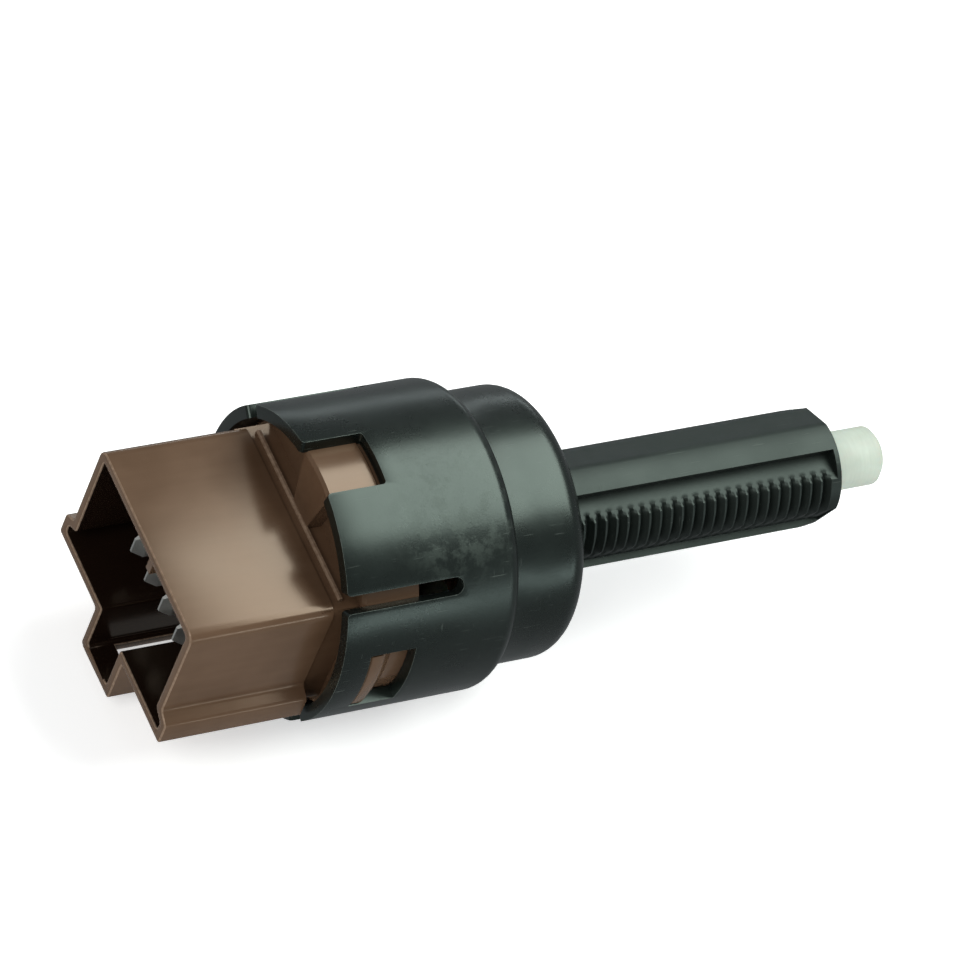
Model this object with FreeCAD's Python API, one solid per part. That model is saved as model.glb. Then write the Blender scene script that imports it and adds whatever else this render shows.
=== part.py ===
import FreeCAD, Part
import math
import os

# Brake light switch with a plunger, a stepped drum, a toothed stem and a four-pin socket.
# All sizes are in millimetres.
# X runs along the switch axis towards the plunger tip, and Z is up.
# The origin lies on the axis at the drum's front shoulder, where the stem starts.

# Drum and stem
DRUM_RADIUS = 13.0
DRUM_LENGTH = 16.1
DRUM_EDGE_ROUND = 1.5
SHOULDER_STEP = 1.55
SHOULDER_LENGTH = 7.2
SHOULDER_EDGE_ROUND = 2.0
STEM_RADIUS = 5.0
STEM_LENGTH = 28.1
RIM_CHAMFER = 0.25
ROUND_CHORDS = 4

# Chamber inside the drum
DRUM_WALL = 1.1
SEAT_DEPTH = 7.0
SEAT_STEP = 0.65
CHAMBER_DEPTH = 14.6
SHOULDER_WALL = 1.35
FRONT_WALL = 2.0

# Cut-outs in the drum wall, at angles turned from the top about the axis
NOTCH_WIDTH = 5.2
NOTCH_DEPTH = 5.35
SLIT_WIDTH = 1.5
SLIT_DEPTH = 10.5
SLIT_ANGLE = 52.3
WINDOW_WIDTH = 6.9
WINDOW_START = 2.5
WINDOW_END = 6.6

# Stem section and teeth
TOOTH_PITCH = 1.047
TOOTH_DEPTH = 0.75
TOOTH_CREST = 0.16
TOOTH_START = 0.9
COMB_OVERRUN = 0.1
TEETH_START_ANGLE = 26.0
TEETH_END_ANGLE = 113.5
TOOTH_CHORDS = 5
FACET_START_ANGLE = -44.0
FACET_END_ANGLE = -8.0
LAND_END_ANGLE = 21.0
UPPER_FLAT_END_ANGLE = 50.0
CREST_END_ANGLE = 84.5
LOWER_FLAT_END_ANGLE = 113.0
LOWER_FLAT_DROP = 0.6
NEXT_LAND_ANGLE = 117.5
UPPER_FLAT_INNER_RADIUS = 3.86
END_RIM_LENGTH = 0.5
TAPER_LENGTH = 2.9
TAPER_DROP = 0.5
TAPER_ANGLE = 110.0

# Plunger
PLUNGER_RADIUS = 2.54
PLUNGER_REACH = 5.95
PLUNGER_TRAVEL = 4.5
PLUNGER_TIP_CHAMFER = 0.45
BORE_CLEARANCE = 0.08
BORE_LEAD = 0.3
COLLAR_RADIUS = 3.9
COLLAR_LENGTH = 1.35
SPIGOT_RADIUS = 1.6
SPIGOT_LENGTH = 3.5
STOP_GAP = 0.05

# Connector socket
SOCKET_REACH = 13.1
SOCKET_HALF_WIDTH = 9.65
SOCKET_TOP = 6.4
SOCKET_BOTTOM = 6.3
SOCKET_WALL = 0.85
SOCKET_CORNER = 1.0
SOCKET_INNER_CORNER = 0.35
EDGE_CHAMFER = 0.3
RIB_HALF_WIDTH = 10.85
RIB_TOP = 3.4
RIB_SLOPE = 0.6
RIB_END_GAP = 0.35
KEYWAY_HALF_WIDTH = 2.9
KEYWAY_BOTTOM = 11.1
SOCKET_FLOOR_DEPTH = -1.2
LOCK_WINDOW_HALF_WIDTH = 1.5
LOCK_WINDOW_SETBACK = 2.3
LOCK_WINDOW_LENGTH = 7.4
RIDGE_DEPTH = 0.6
RIDGE_WIDTH = 0.35
RIDGE_HEIGHT = 0.25
NECK_INSET = 0.7
POLARISING_RIB_CENTRE = 1.2
POLARISING_RIB_WIDTH = 0.7
POLARISING_RIB_HEIGHT = 1.5

# Base flange
FLANGE_CLEARANCE = 0.05
FLANGE_FRONT_DEPTH = 2.0
FLOOR_INNER_DEPTH = 3.8
SKIRT_WALL = 1.65
KEY_SIDE_CLEARANCE = 0.15
KEY_SINK = 1.0
KEY_END_CLEARANCE = 0.2
LUG_SIDE_CLEARANCE = 0.25
LUG_SINK = 0.1
LUG_CATCH_CLEARANCE = 0.12
LUG_FLAT = 1.0
LUG_LENGTH = 2.4
SPRING_PIN_RADIUS = 1.25
SPRING_PIN_LENGTH = 2.2

# Terminals
STRIP = 0.8
BLADE_WIDTH = 2.8
BLADE_DROP = 0.6
BLADE_TIP_SETBACK = 2.5
BLADE_TIP_TAPER = 1.1
BLADE_TIP_HALF_THICKNESS = 0.1
BLADE_TIP_NARROWING = 0.6
PIN_PITCH = 3.0
INSERT_GAP = 0.03
RISER_OFFSET = 6.0
LAYER_OFFSET = 4.7
LAYER_WIDTH = 3.0
STOP_PAD_DEPTH = 19.2
PAD_INNER_STOP = 3.0
PAD_OUTER_CRUISE = 5.4
BURIED_START = 2.2
BURIED_END = 3.6
HOLE_FLOOR = 0.3

# Contacts and bridges
CONTACT_OFFSET = 4.2
CONTACT_RADIUS = 1.1
CONTACT_HEIGHT = 0.6
FIXED_CRUISE_HEIGHT = 0.8
SHANK_RADIUS = 0.55
SHANK_GAP = 0.01
CONTACT_SIDES = 16
SHANK_CUT_BACK = 0.35
BRIDGE_THICKNESS = 0.6
BRIDGE_HALF_LENGTH = 5.2
BRIDGE_HALF_WIDTH = 1.5
BRIDGE_WAIST = 1.25
CONTACT_GAP = 0.03

# Carrier
HUB_RADIUS = 3.2
HUB_BORE = 2.45
HUB_START = 9.4
HUB_BORE_END = 15.6
SOCKET_START = 16.35
ARM_HALF_WIDTH = 2.0
ARM_OUTER = 7.0
ARM_WEB = 0.75
WINDOW_PLAY = 0.15
STOP_POCKET_FLOOR = 12.9
CRUISE_POCKET_ROOF = 15.2

# Springs
CONTACT_SPRING_RADIUS = 0.95
CONTACT_SPRING_WIRE = 0.14
RETURN_SPRING_RADIUS = 1.9
RETURN_SPRING_WIRE = 0.22
SPRING_SEAT_GAP = 0.02
CONTACT_SPRING_TURNS = 4.0
RETURN_SPRING_TURNS = 7.0
END_TURN_PITCH = 1.08
RUNS_PER_TURN = 12
WIRE_SIDES = 4

# Sizes that follow from those above
SHOULDER_RADIUS = DRUM_RADIUS - SHOULDER_STEP
SEAT_RADIUS = DRUM_RADIUS - DRUM_WALL
CHAMBER_RADIUS = SEAT_RADIUS - SEAT_STEP
FRONT_ROOM_RADIUS = SHOULDER_RADIUS - SHOULDER_WALL
FLANGE_RADIUS = SEAT_RADIUS - FLANGE_CLEARANCE
SKIRT_INNER_RADIUS = FLANGE_RADIUS - SKIRT_WALL
KEY_RADIUS = DRUM_RADIUS - KEY_SINK
KEY_HALF_WIDTH = 0.5 * NOTCH_WIDTH - KEY_SIDE_CLEARANCE
KEY_END_DEPTH = NOTCH_DEPTH - KEY_END_CLEARANCE
LUG_RADIUS = DRUM_RADIUS - LUG_SINK
LUG_HALF_WIDTH = 0.5 * WINDOW_WIDTH - LUG_SIDE_CLEARANCE
LUG_START = WINDOW_START + LUG_CATCH_CLEARANCE
RIM_X = -(SHOULDER_LENGTH + DRUM_LENGTH)
TIP_X = STEM_LENGTH + PLUNGER_REACH
ROOM_END_DEPTH = SHOULDER_LENGTH + DRUM_LENGTH - FRONT_WALL
MOUTH_DEPTH = -SOCKET_REACH
STOP_CONTACT_FACE = STOP_PAD_DEPTH - CONTACT_HEIGHT
STOP_BRIDGE_TOP = STOP_CONTACT_FACE - CONTACT_GAP - CONTACT_HEIGHT
CRUISE_CONTACT_FACE = FLOOR_INNER_DEPTH + STRIP + FIXED_CRUISE_HEIGHT
CRUISE_BRIDGE_BOTTOM = CRUISE_CONTACT_FACE + PLUNGER_TRAVEL + CONTACT_GAP + CONTACT_HEIGHT
COLLAR_TOP_DEPTH = ROOM_END_DEPTH - STOP_GAP
COLLAR_BOTTOM_DEPTH = COLLAR_TOP_DEPTH - COLLAR_LENGTH

AXIS = FreeCAD.Vector(1, 0, 0)
ORIGIN = FreeCAD.Vector(0, 0, 0)


def at(depth):
    """X station for a depth measured from the drum's open rim."""
    return RIM_X + depth


def box(depth0, depth1, y0, y1, z0, z1):
    """Block between two depths, two Y values and two Z values."""
    corner = FreeCAD.Vector(at(depth0), min(y0, y1), min(z0, z1))
    return Part.makeBox(depth1 - depth0, abs(y1 - y0), abs(z1 - z0), corner)


def rod(depth0, depth1, radius, y=0.0, z=0.0):
    """Round bar along the axis direction between two depths."""
    start = FreeCAD.Vector(at(depth0), y, z)
    return Part.makeCylinder(radius, depth1 - depth0, start, AXIS)


def prism(points, depth0, depth1):
    """Bar with the given (y, z) outline between two depths."""
    ring = [FreeCAD.Vector(at(depth0), y, z) for y, z in points]
    ring.append(ring[0])
    face = Part.Face(Part.makePolygon(ring))
    return face.extrude(FreeCAD.Vector(depth1 - depth0, 0, 0))


def turned(points, degrees=360.0):
    """Body turned about the axis from an (x, radius) outline that starts at the top."""
    ring = [FreeCAD.Vector(x, 0, r) for x, r in points]
    ring.append(ring[0])
    face = Part.Face(Part.makePolygon(ring))
    return face.revolve(ORIGIN, AXIS, degrees)


def spun(shape, degrees):
    """Copy of a shape turned about the switch axis."""
    copy = shape.copy()
    copy.rotate(ORIGIN, AXIS, degrees)
    return copy


def polar(radius, degrees):
    """Point of the stem section at an angle from the top, at the shoulder plane."""
    angle = math.radians(degrees)
    return FreeCAD.Vector(0, -radius * math.sin(angle), radius * math.cos(angle))


def section_arc(radius, start, end):
    """Arc of the stem section between two angles."""
    middle = 0.5 * (start + end)
    return Part.Arc(polar(radius, start), polar(radius, middle), polar(radius, end)).toShape()


def rounded_corner(x, radius, round_radius):
    """Outline points of a front edge round, from its side to its face, in even chords."""
    points = []
    for index in range(ROUND_CHORDS + 1):
        angle = 0.5 * math.pi * index / ROUND_CHORDS
        points.append((x - round_radius * (1.0 - math.sin(angle)),
                       radius - round_radius * (1.0 - math.cos(angle))))
    return points


def drum_shell():
    """Stepped drum outside with rounded front edges."""
    outline = [(RIM_X, 0.0), (RIM_X, DRUM_RADIUS - RIM_CHAMFER), (RIM_X + RIM_CHAMFER, DRUM_RADIUS)]
    outline += rounded_corner(RIM_X + DRUM_LENGTH, DRUM_RADIUS, DRUM_EDGE_ROUND)
    outline.append((RIM_X + DRUM_LENGTH, SHOULDER_RADIUS))
    outline += rounded_corner(0.0, SHOULDER_RADIUS, SHOULDER_EDGE_ROUND)
    outline.append((0.0, 0.0))
    return turned(outline)


def full_section(turn):
    """Edges of half the stem's round section, with its facet, from the lower land on."""
    start = turn + NEXT_LAND_ANGLE
    facet_start = polar(STEM_RADIUS, turn + 180.0 + FACET_START_ANGLE)
    facet_end = polar(STEM_RADIUS, turn + 180.0 + FACET_END_ANGLE)
    return [
        section_arc(STEM_RADIUS, start, turn + 180.0 + FACET_START_ANGLE),
        Part.LineSegment(facet_start, facet_end).toShape(),
        section_arc(STEM_RADIUS, turn + 180.0 + FACET_END_ANGLE, turn + 180.0 + LAND_END_ANGLE),
    ]


def sunk_section(turn):
    """Edges of one sunk stretch of the section, between the two lands."""
    lower = STEM_RADIUS - LOWER_FLAT_DROP
    wall_top = polar(STEM_RADIUS, turn + LAND_END_ANGLE)
    wall_foot = polar(UPPER_FLAT_INNER_RADIUS, turn + LAND_END_ANGLE)
    crest_start = polar(STEM_RADIUS, turn + UPPER_FLAT_END_ANGLE)
    crest_end = polar(STEM_RADIUS, turn + CREST_END_ANGLE)
    lower_foot = polar(lower, turn + LOWER_FLAT_END_ANGLE)
    next_foot = polar(lower, turn + NEXT_LAND_ANGLE)
    next_top = polar(STEM_RADIUS, turn + NEXT_LAND_ANGLE)
    return [
        Part.LineSegment(wall_top, wall_foot).toShape(),
        Part.LineSegment(wall_foot, crest_start).toShape(),
        section_arc(STEM_RADIUS, turn + UPPER_FLAT_END_ANGLE, turn + CREST_END_ANGLE),
        Part.LineSegment(crest_end, lower_foot).toShape(),
        Part.LineSegment(lower_foot, next_foot).toShape(),
        Part.LineSegment(next_foot, next_top).toShape(),
    ]


def stem_blank():
    """Stem with two smooth lands, two sunk tooth sectors and a round rim at its tip."""
    sunk = []
    rim = []
    for turn in (0.0, 180.0):
        sunk += sunk_section(turn) + full_section(turn)
        rim.append(section_arc(STEM_RADIUS, turn + LAND_END_ANGLE, turn + NEXT_LAND_ANGLE))
        rim += full_section(turn)
    rim_start = STEM_LENGTH - END_RIM_LENGTH
    shaft = Part.Face(Part.Wire(sunk)).extrude(FreeCAD.Vector(STEM_LENGTH - 0.5 * END_RIM_LENGTH, 0, 0))
    end = Part.Face(Part.Wire(rim)).extrude(FreeCAD.Vector(END_RIM_LENGTH, 0, 0))
    end.translate(FreeCAD.Vector(rim_start, 0, 0))
    return shaft.fuse(end)


def tooth_comb():
    """Outline of a comb that cuts every tooth space, as (x, height) points."""
    root = STEM_RADIUS - TOOTH_DEPTH
    clear = STEM_RADIUS + COMB_OVERRUN
    half = 0.5 * (TOOTH_PITCH - TOOTH_CREST) * (clear - root) / TOOTH_DEPTH
    count = int((STEM_LENGTH - END_RIM_LENGTH - TOOTH_START) / TOOTH_PITCH)
    points = []
    for index in range(count):
        x = TOOTH_START + (index + 0.5) * TOOTH_PITCH
        points += [(x - half, clear), (x, root), (x + half, clear)]
    return points + [(points[-1][0], clear + TOOTH_DEPTH), (points[0][0], clear + TOOTH_DEPTH)]


def tooth_cutters():
    """Combs that follow one toothed side of the stem in even chords."""
    span = (TEETH_END_ANGLE - TEETH_START_ANGLE) / TOOTH_CHORDS
    reach = (STEM_RADIUS + COMB_OVERRUN) * math.tan(math.radians(0.5 * span))
    ring = [FreeCAD.Vector(x, -reach, z) for x, z in tooth_comb()]
    comb = Part.Face(Part.makePolygon(ring + ring[:1])).extrude(FreeCAD.Vector(0, 2.0 * reach, 0))
    cutters = []
    for index in range(TOOTH_CHORDS):
        cutters.append(spun(comb, TEETH_START_ANGLE + (index + 0.5) * span))
    return cutters


def taper_wedge():
    """Wedge that bevels the stem's tip below its teeth."""
    start = STEM_LENGTH - TAPER_LENGTH
    outside = STEM_RADIUS + 1.0
    slope = TAPER_DROP / TAPER_LENGTH
    points = [(start, STEM_RADIUS), (STEM_LENGTH + 1.0, STEM_RADIUS - slope * (TAPER_LENGTH + 1.0)),
              (STEM_LENGTH + 1.0, outside), (start, outside)]
    ring = [FreeCAD.Vector(x, -STEM_RADIUS, z) for x, z in points]
    ring.append(ring[0])
    wedge = Part.Face(Part.makePolygon(ring)).extrude(FreeCAD.Vector(0, 2.0 * STEM_RADIUS, 0))
    return spun(wedge, TAPER_ANGLE)


def stem():
    """Toothed stem with a bevelled lead-in on its tooth side."""
    cutters = []
    for cutter in tooth_cutters() + [taper_wedge()]:
        cutters.append(cutter)
        cutters.append(spun(cutter, 180.0))
    return stem_blank().cut(cutters)


def slit(angle):
    """Slot cutter that runs in from the rim and ends in a half round."""
    reach = DRUM_RADIUS + 1.0
    inner = SEAT_RADIUS - 2.0
    half = 0.5 * SLIT_WIDTH
    straight = box(-1.0, SLIT_DEPTH - half, -half, half, inner, reach)
    centre = FreeCAD.Vector(at(SLIT_DEPTH - half), 0, inner)
    end = Part.makeCylinder(half, reach - inner, centre, FreeCAD.Vector(0, 0, 1))
    return spun(straight.fuse(end), angle)


def housing():
    """Black one-piece drum and stem with its chamber, bore and snap cut-outs."""
    body = drum_shell().fuse(stem())
    body = body.cut(rod(-1.0, SEAT_DEPTH, SEAT_RADIUS))
    body = body.cut(rod(-1.0, CHAMBER_DEPTH, CHAMBER_RADIUS))
    body = body.cut(rod(-1.0, ROOM_END_DEPTH, FRONT_ROOM_RADIUS))
    bore = PLUNGER_RADIUS + BORE_CLEARANCE
    body = body.cut(rod(0.0, SHOULDER_LENGTH + DRUM_LENGTH + STEM_LENGTH + 1.0, bore))
    lead = [(STEM_LENGTH - BORE_LEAD, bore), (STEM_LENGTH, bore + BORE_LEAD),
            (STEM_LENGTH + BORE_LEAD, bore + BORE_LEAD), (STEM_LENGTH + BORE_LEAD, 0.5 * bore),
            (STEM_LENGTH - BORE_LEAD, 0.5 * bore)]
    body = body.cut(turned(lead))
    reach = DRUM_RADIUS + 1.0
    inner = SEAT_RADIUS - 2.0
    half = 0.5 * NOTCH_WIDTH
    body = body.cut(box(-1.0, NOTCH_DEPTH, -half, half, inner, reach))
    for side in (-1, 1):
        body = body.cut(slit(side * SLIT_ANGLE))
        body = body.cut(slit(side * (180.0 - SLIT_ANGLE)))
        wide = 0.5 * WINDOW_WIDTH
        window = box(WINDOW_START, WINDOW_END, -wide, wide, inner, reach)
        body = body.cut(spun(window, side * 90.0))
    return body.removeSplitter()


def socket_outline(inset, with_ribs=True):
    """Outline of the socket's section, shrunk inwards by the inset."""
    side = SOCKET_HALF_WIDTH - inset
    rib = RIB_HALF_WIDTH - inset
    top = SOCKET_TOP - inset
    bottom = -(SOCKET_BOTTOM - inset)
    key = KEYWAY_HALF_WIDTH - inset
    key_bottom = -(KEYWAY_BOTTOM - inset)
    shelf = -(RIB_TOP + RIB_SLOPE * inset)
    corner = SOCKET_CORNER
    if inset > 0:
        corner = SOCKET_INNER_CORNER
    cut = corner * (1.0 - math.sqrt(0.5))
    right = [(side - corner, top), (side - cut, top - cut), (side, top - corner)]
    if with_ribs:
        right += [(side, shelf), (rib, shelf - RIB_SLOPE), (rib, bottom + EDGE_CHAMFER),
                  (rib - EDGE_CHAMFER, bottom)]
    else:
        right += [(side, bottom)]
    right += [(key, bottom), (key, key_bottom + EDGE_CHAMFER), (key - EDGE_CHAMFER, key_bottom)]
    left = [(-y, z) for y, z in reversed(right)]
    return right + left


def socket_shell():
    """Thin-walled socket with its side grooves, keyway and lock window."""
    outer = prism(socket_outline(0.0), MOUTH_DEPTH, RIDGE_DEPTH)
    limit = rod(MOUTH_DEPTH - 1.0, -RIB_END_GAP, 2.0 * RIB_HALF_WIDTH)
    inside_cup = prism(socket_outline(0.0, False), MOUTH_DEPTH, RIDGE_DEPTH)
    shell = outer.common(limit).fuse(inside_cup)
    cavity = prism(socket_outline(SOCKET_WALL), MOUTH_DEPTH - 1.0, SOCKET_FLOOR_DEPTH)
    shell = shell.cut(cavity)
    start = MOUTH_DEPTH + LOCK_WINDOW_SETBACK
    shell = shell.cut(box(start, start + LOCK_WINDOW_LENGTH, -LOCK_WINDOW_HALF_WIDTH,
                          LOCK_WINDOW_HALF_WIDTH, -KEYWAY_BOTTOM - 1.0,
                          -KEYWAY_BOTTOM + 1.5 * SOCKET_WALL))
    ridge_side = SOCKET_HALF_WIDTH - SOCKET_CORNER
    ridge = box(RIDGE_DEPTH - RIDGE_WIDTH, RIDGE_DEPTH, -ridge_side, ridge_side,
                SOCKET_TOP - EDGE_CHAMFER, SOCKET_TOP + RIDGE_HEIGHT)
    rib_y = -POLARISING_RIB_CENTRE
    rib = box(MOUTH_DEPTH + EDGE_CHAMFER, SOCKET_FLOOR_DEPTH, rib_y - 0.5 * POLARISING_RIB_WIDTH,
              rib_y + 0.5 * POLARISING_RIB_WIDTH,
              SOCKET_TOP - SOCKET_WALL - POLARISING_RIB_HEIGHT, SOCKET_TOP - EDGE_CHAMFER)
    return shell.fuse([ridge, rib])


def snap_lug(side):
    """Ramped lug that catches the front edge of a drum window."""
    base = FLANGE_RADIUS - 0.8
    points = [(LUG_START, base), (LUG_START, LUG_RADIUS), (LUG_START + LUG_FLAT, LUG_RADIUS),
              (LUG_START + LUG_LENGTH, FLANGE_RADIUS), (LUG_START + LUG_LENGTH, base)]
    ring = [FreeCAD.Vector(at(d), -LUG_HALF_WIDTH, z) for d, z in points]
    ring.append(ring[0])
    face = Part.Face(Part.makePolygon(ring))
    lug = face.extrude(FreeCAD.Vector(0, 2.0 * LUG_HALF_WIDTH, 0))
    lug = lug.common(rod(0.0, SEAT_DEPTH, LUG_RADIUS))
    return spun(lug, side * 90.0)


def connector_base():
    """Brown socket and flange that close the drum and hold the terminals."""
    flange = rod(FLANGE_FRONT_DEPTH, SEAT_DEPTH, FLANGE_RADIUS)
    flange = flange.cut(rod(FLOOR_INNER_DEPTH, SEAT_DEPTH + 1.0, SKIRT_INNER_RADIUS))
    plug = prism(socket_outline(NECK_INSET, False), SOCKET_FLOOR_DEPTH, FLANGE_FRONT_DEPTH + 0.5)
    key = box(RIDGE_DEPTH - 0.1, KEY_END_DEPTH, -KEY_HALF_WIDTH, KEY_HALF_WIDTH,
              SOCKET_TOP - 1.5, KEY_RADIUS + 1.0)
    key = key.common(rod(0.0, SEAT_DEPTH, KEY_RADIUS))
    key = key.cut(rod(FLOOR_INNER_DEPTH, SEAT_DEPTH, SKIRT_INNER_RADIUS))
    pin = rod(FLOOR_INNER_DEPTH - 0.5, FLOOR_INNER_DEPTH + SPRING_PIN_LENGTH, SPRING_PIN_RADIUS)
    neck = socket_shell().fuse(plug)
    seat_side = rod(0.0, SEAT_DEPTH, DRUM_RADIUS + SOCKET_HALF_WIDTH)
    neck = neck.cut(seat_side.cut(rod(0.0, SEAT_DEPTH, FLANGE_RADIUS)))
    body = neck.fuse([flange, key, pin, snap_lug(-1), snap_lug(1)])
    inserts = []
    for side in (-1, 1):
        inserts.append(stop_terminal_blank(side, INSERT_GAP))
        inserts.append(cruise_terminal_blank(side, INSERT_GAP))
    body = body.cut(Part.makeCompound(inserts))
    return body.removeSplitter()


def blade(centre_y, grow, end_depth):
    """Flat blade with a four-sided tapered tip."""
    half_t = 0.5 * STRIP + grow
    half_w = 0.5 * BLADE_WIDTH + grow
    tip = MOUTH_DEPTH + BLADE_TIP_SETBACK
    shoulder = tip + BLADE_TIP_TAPER
    low = -BLADE_DROP - half_w
    high = -BLADE_DROP + half_w
    narrow = half_w - BLADE_TIP_NARROWING
    side_view = [(tip, -BLADE_DROP - narrow), (shoulder, low), (end_depth, low),
                 (end_depth, high), (shoulder, high), (tip, -BLADE_DROP + narrow)]
    ring = [FreeCAD.Vector(at(d), centre_y - half_t, z) for d, z in side_view]
    plate = Part.Face(Part.makePolygon(ring + ring[:1])).extrude(FreeCAD.Vector(0, 2.0 * half_t, 0))
    thin = BLADE_TIP_HALF_THICKNESS + grow
    top_view = [(tip, -thin), (shoulder, -half_t), (end_depth, -half_t),
                (end_depth, half_t), (shoulder, half_t), (tip, thin)]
    ring = [FreeCAD.Vector(at(d), centre_y + y, low) for d, y in top_view]
    wedge = Part.Face(Part.makePolygon(ring + ring[:1])).extrude(FreeCAD.Vector(0, 0, high - low))
    return plate.common(wedge)


def stop_terminal_blank(side, grow):
    """Outer terminal: blade, floor plate, riser and inward pad."""
    blade_y = side * 1.5 * PIN_PITCH
    inner_y = blade_y - side * (0.5 * STRIP + grow)
    outer_y = side * (RISER_OFFSET + 0.5 * STRIP + grow)
    riser_y = side * (RISER_OFFSET - 0.5 * STRIP - grow)
    low = -LAYER_OFFSET - 0.5 * LAYER_WIDTH - grow
    high = -LAYER_OFFSET + 0.5 * LAYER_WIDTH + grow
    plate_top = -BLADE_DROP + 0.5 * BLADE_WIDTH + grow
    foot = FLOOR_INNER_DEPTH - grow
    deck = FLOOR_INNER_DEPTH + STRIP + grow
    pieces = [
        box(foot, deck, inner_y, outer_y, low, plate_top),
        box(foot, STOP_PAD_DEPTH + STRIP, riser_y, outer_y, low, high),
        box(STOP_PAD_DEPTH, STOP_PAD_DEPTH + STRIP, side * PAD_INNER_STOP, outer_y, low, high),
    ]
    return blade(blade_y, grow, deck).fuse(pieces)


def cruise_terminal_blank(side, grow):
    """Inner terminal: blade, buried run and outward pad on the floor."""
    blade_y = side * 0.5 * PIN_PITCH
    inner_y = blade_y - side * (0.5 * STRIP + grow)
    outer_y = blade_y + side * (0.5 * STRIP + grow)
    low = LAYER_OFFSET - 0.5 * LAYER_WIDTH - grow
    high = LAYER_OFFSET + 0.5 * LAYER_WIDTH + grow
    blade_low = -BLADE_DROP - 0.5 * BLADE_WIDTH - grow
    deck = FLOOR_INNER_DEPTH + STRIP + grow
    pieces = [
        box(BURIED_START - grow, BURIED_END + grow, inner_y, outer_y, blade_low, high),
        box(BURIED_START - grow, deck, inner_y, outer_y, low, high),
        box(FLOOR_INNER_DEPTH - grow, deck, inner_y, side * (PAD_OUTER_CRUISE + grow), low, high),
    ]
    return blade(blade_y, grow, BURIED_END + grow).fuse(pieces)


def stop_terminal(side):
    """Finished stop-lamp terminal with its contact hole."""
    body = stop_terminal_blank(side, 0.0)
    hole = coin(STOP_PAD_DEPTH - 1.0, STOP_PAD_DEPTH + STRIP + 1.0, SHANK_RADIUS + SHANK_GAP,
                side * CONTACT_OFFSET, -LAYER_OFFSET)
    return body.cut(hole).removeSplitter()


def cruise_terminal(side):
    """Finished cruise-circuit terminal with its contact hole."""
    body = cruise_terminal_blank(side, 0.0)
    hole = coin(FLOOR_INNER_DEPTH + HOLE_FLOOR, FLOOR_INNER_DEPTH + STRIP + 1.0,
                SHANK_RADIUS + SHANK_GAP, side * CONTACT_OFFSET, LAYER_OFFSET)
    return body.cut(hole).removeSplitter()


def coin(depth0, depth1, radius, y, z):
    """Many-sided disc along the axis direction between two depths."""
    points = []
    for index in range(CONTACT_SIDES):
        angle = 2.0 * math.pi * (index + 0.5) / CONTACT_SIDES
        points.append((y + radius * math.cos(angle), z + radius * math.sin(angle)))
    return prism(points, min(depth0, depth1), max(depth0, depth1))


def contact(face, direction, height, shank, y, z):
    """Contact rivet whose face lies at a depth and whose shank points back."""
    back = face - direction * height
    head = coin(back, face, CONTACT_RADIUS, y, z)
    return head.fuse(coin(back - direction * shank, back, SHANK_RADIUS, y, z))


def bridge(bottom, z):
    """Contact bridge: a strip with a waist that sits in the carrier's window."""
    top = bottom + BRIDGE_THICKNESS
    waist = ARM_HALF_WIDTH + WINDOW_PLAY
    body = box(bottom, top, -BRIDGE_HALF_LENGTH, BRIDGE_HALF_LENGTH,
               z - BRIDGE_HALF_WIDTH, z + BRIDGE_HALF_WIDTH)
    for side in (-1, 1):
        body = body.cut(box(bottom - 1.0, top + 1.0, -waist, waist, z + side * BRIDGE_WAIST,
                            z + side * (BRIDGE_HALF_WIDTH + 1.0)))
        body = body.cut(coin(bottom - 1.0, top + 1.0, SHANK_RADIUS + SHANK_GAP,
                             side * CONTACT_OFFSET, z))
    return body


def carrier():
    """Slider with a spring bore and one pocketed arm for each bridge."""
    hub = rod(HUB_START, COLLAR_BOTTOM_DEPTH, HUB_RADIUS)
    stop_top = STOP_BRIDGE_TOP
    cruise_bottom = CRUISE_BRIDGE_BOTTOM
    stop_arm = box(STOP_POCKET_FLOOR - ARM_WEB, stop_top + ARM_WEB, -ARM_HALF_WIDTH,
                   ARM_HALF_WIDTH, -ARM_OUTER, -1.0)
    cruise_arm = box(cruise_bottom - ARM_WEB, CRUISE_POCKET_ROOF + ARM_WEB, -ARM_HALF_WIDTH,
                     ARM_HALF_WIDTH, 1.0, ARM_OUTER)
    body = hub.fuse([stop_arm, cruise_arm])
    reach = BRIDGE_WAIST + WINDOW_PLAY
    through = HUB_RADIUS + ARM_HALF_WIDTH
    stop_window = box(STOP_POCKET_FLOOR, stop_top, -through, through, -LAYER_OFFSET - reach,
                      -LAYER_OFFSET + reach)
    cruise_window = box(cruise_bottom, CRUISE_POCKET_ROOF, -through, through,
                        LAYER_OFFSET - reach, LAYER_OFFSET + reach)
    body = body.cut(Part.makeCompound([stop_window, cruise_window]))
    body = body.cut(rod(HUB_START - 3.0, HUB_BORE_END, HUB_BORE))
    body = body.cut(rod(SOCKET_START, COLLAR_BOTTOM_DEPTH + 1.0, SPIGOT_RADIUS + INSERT_GAP))
    return body.removeSplitter()


def plunger():
    """Off-white push rod with a stop collar and a spigot for the carrier."""
    top = TIP_X
    tip = PLUNGER_RADIUS - PLUNGER_TIP_CHAMFER
    foot = COLLAR_BOTTOM_DEPTH - SPIGOT_LENGTH
    points = [(at(foot), 0.0), (at(foot), SPIGOT_RADIUS), (at(COLLAR_BOTTOM_DEPTH), SPIGOT_RADIUS),
              (at(COLLAR_BOTTOM_DEPTH), COLLAR_RADIUS), (at(COLLAR_TOP_DEPTH), COLLAR_RADIUS),
              (at(COLLAR_TOP_DEPTH), PLUNGER_RADIUS), (top - PLUNGER_TIP_CHAMFER, PLUNGER_RADIUS),
              (top, tip), (top, 0.0)]
    return turned(points)


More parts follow.
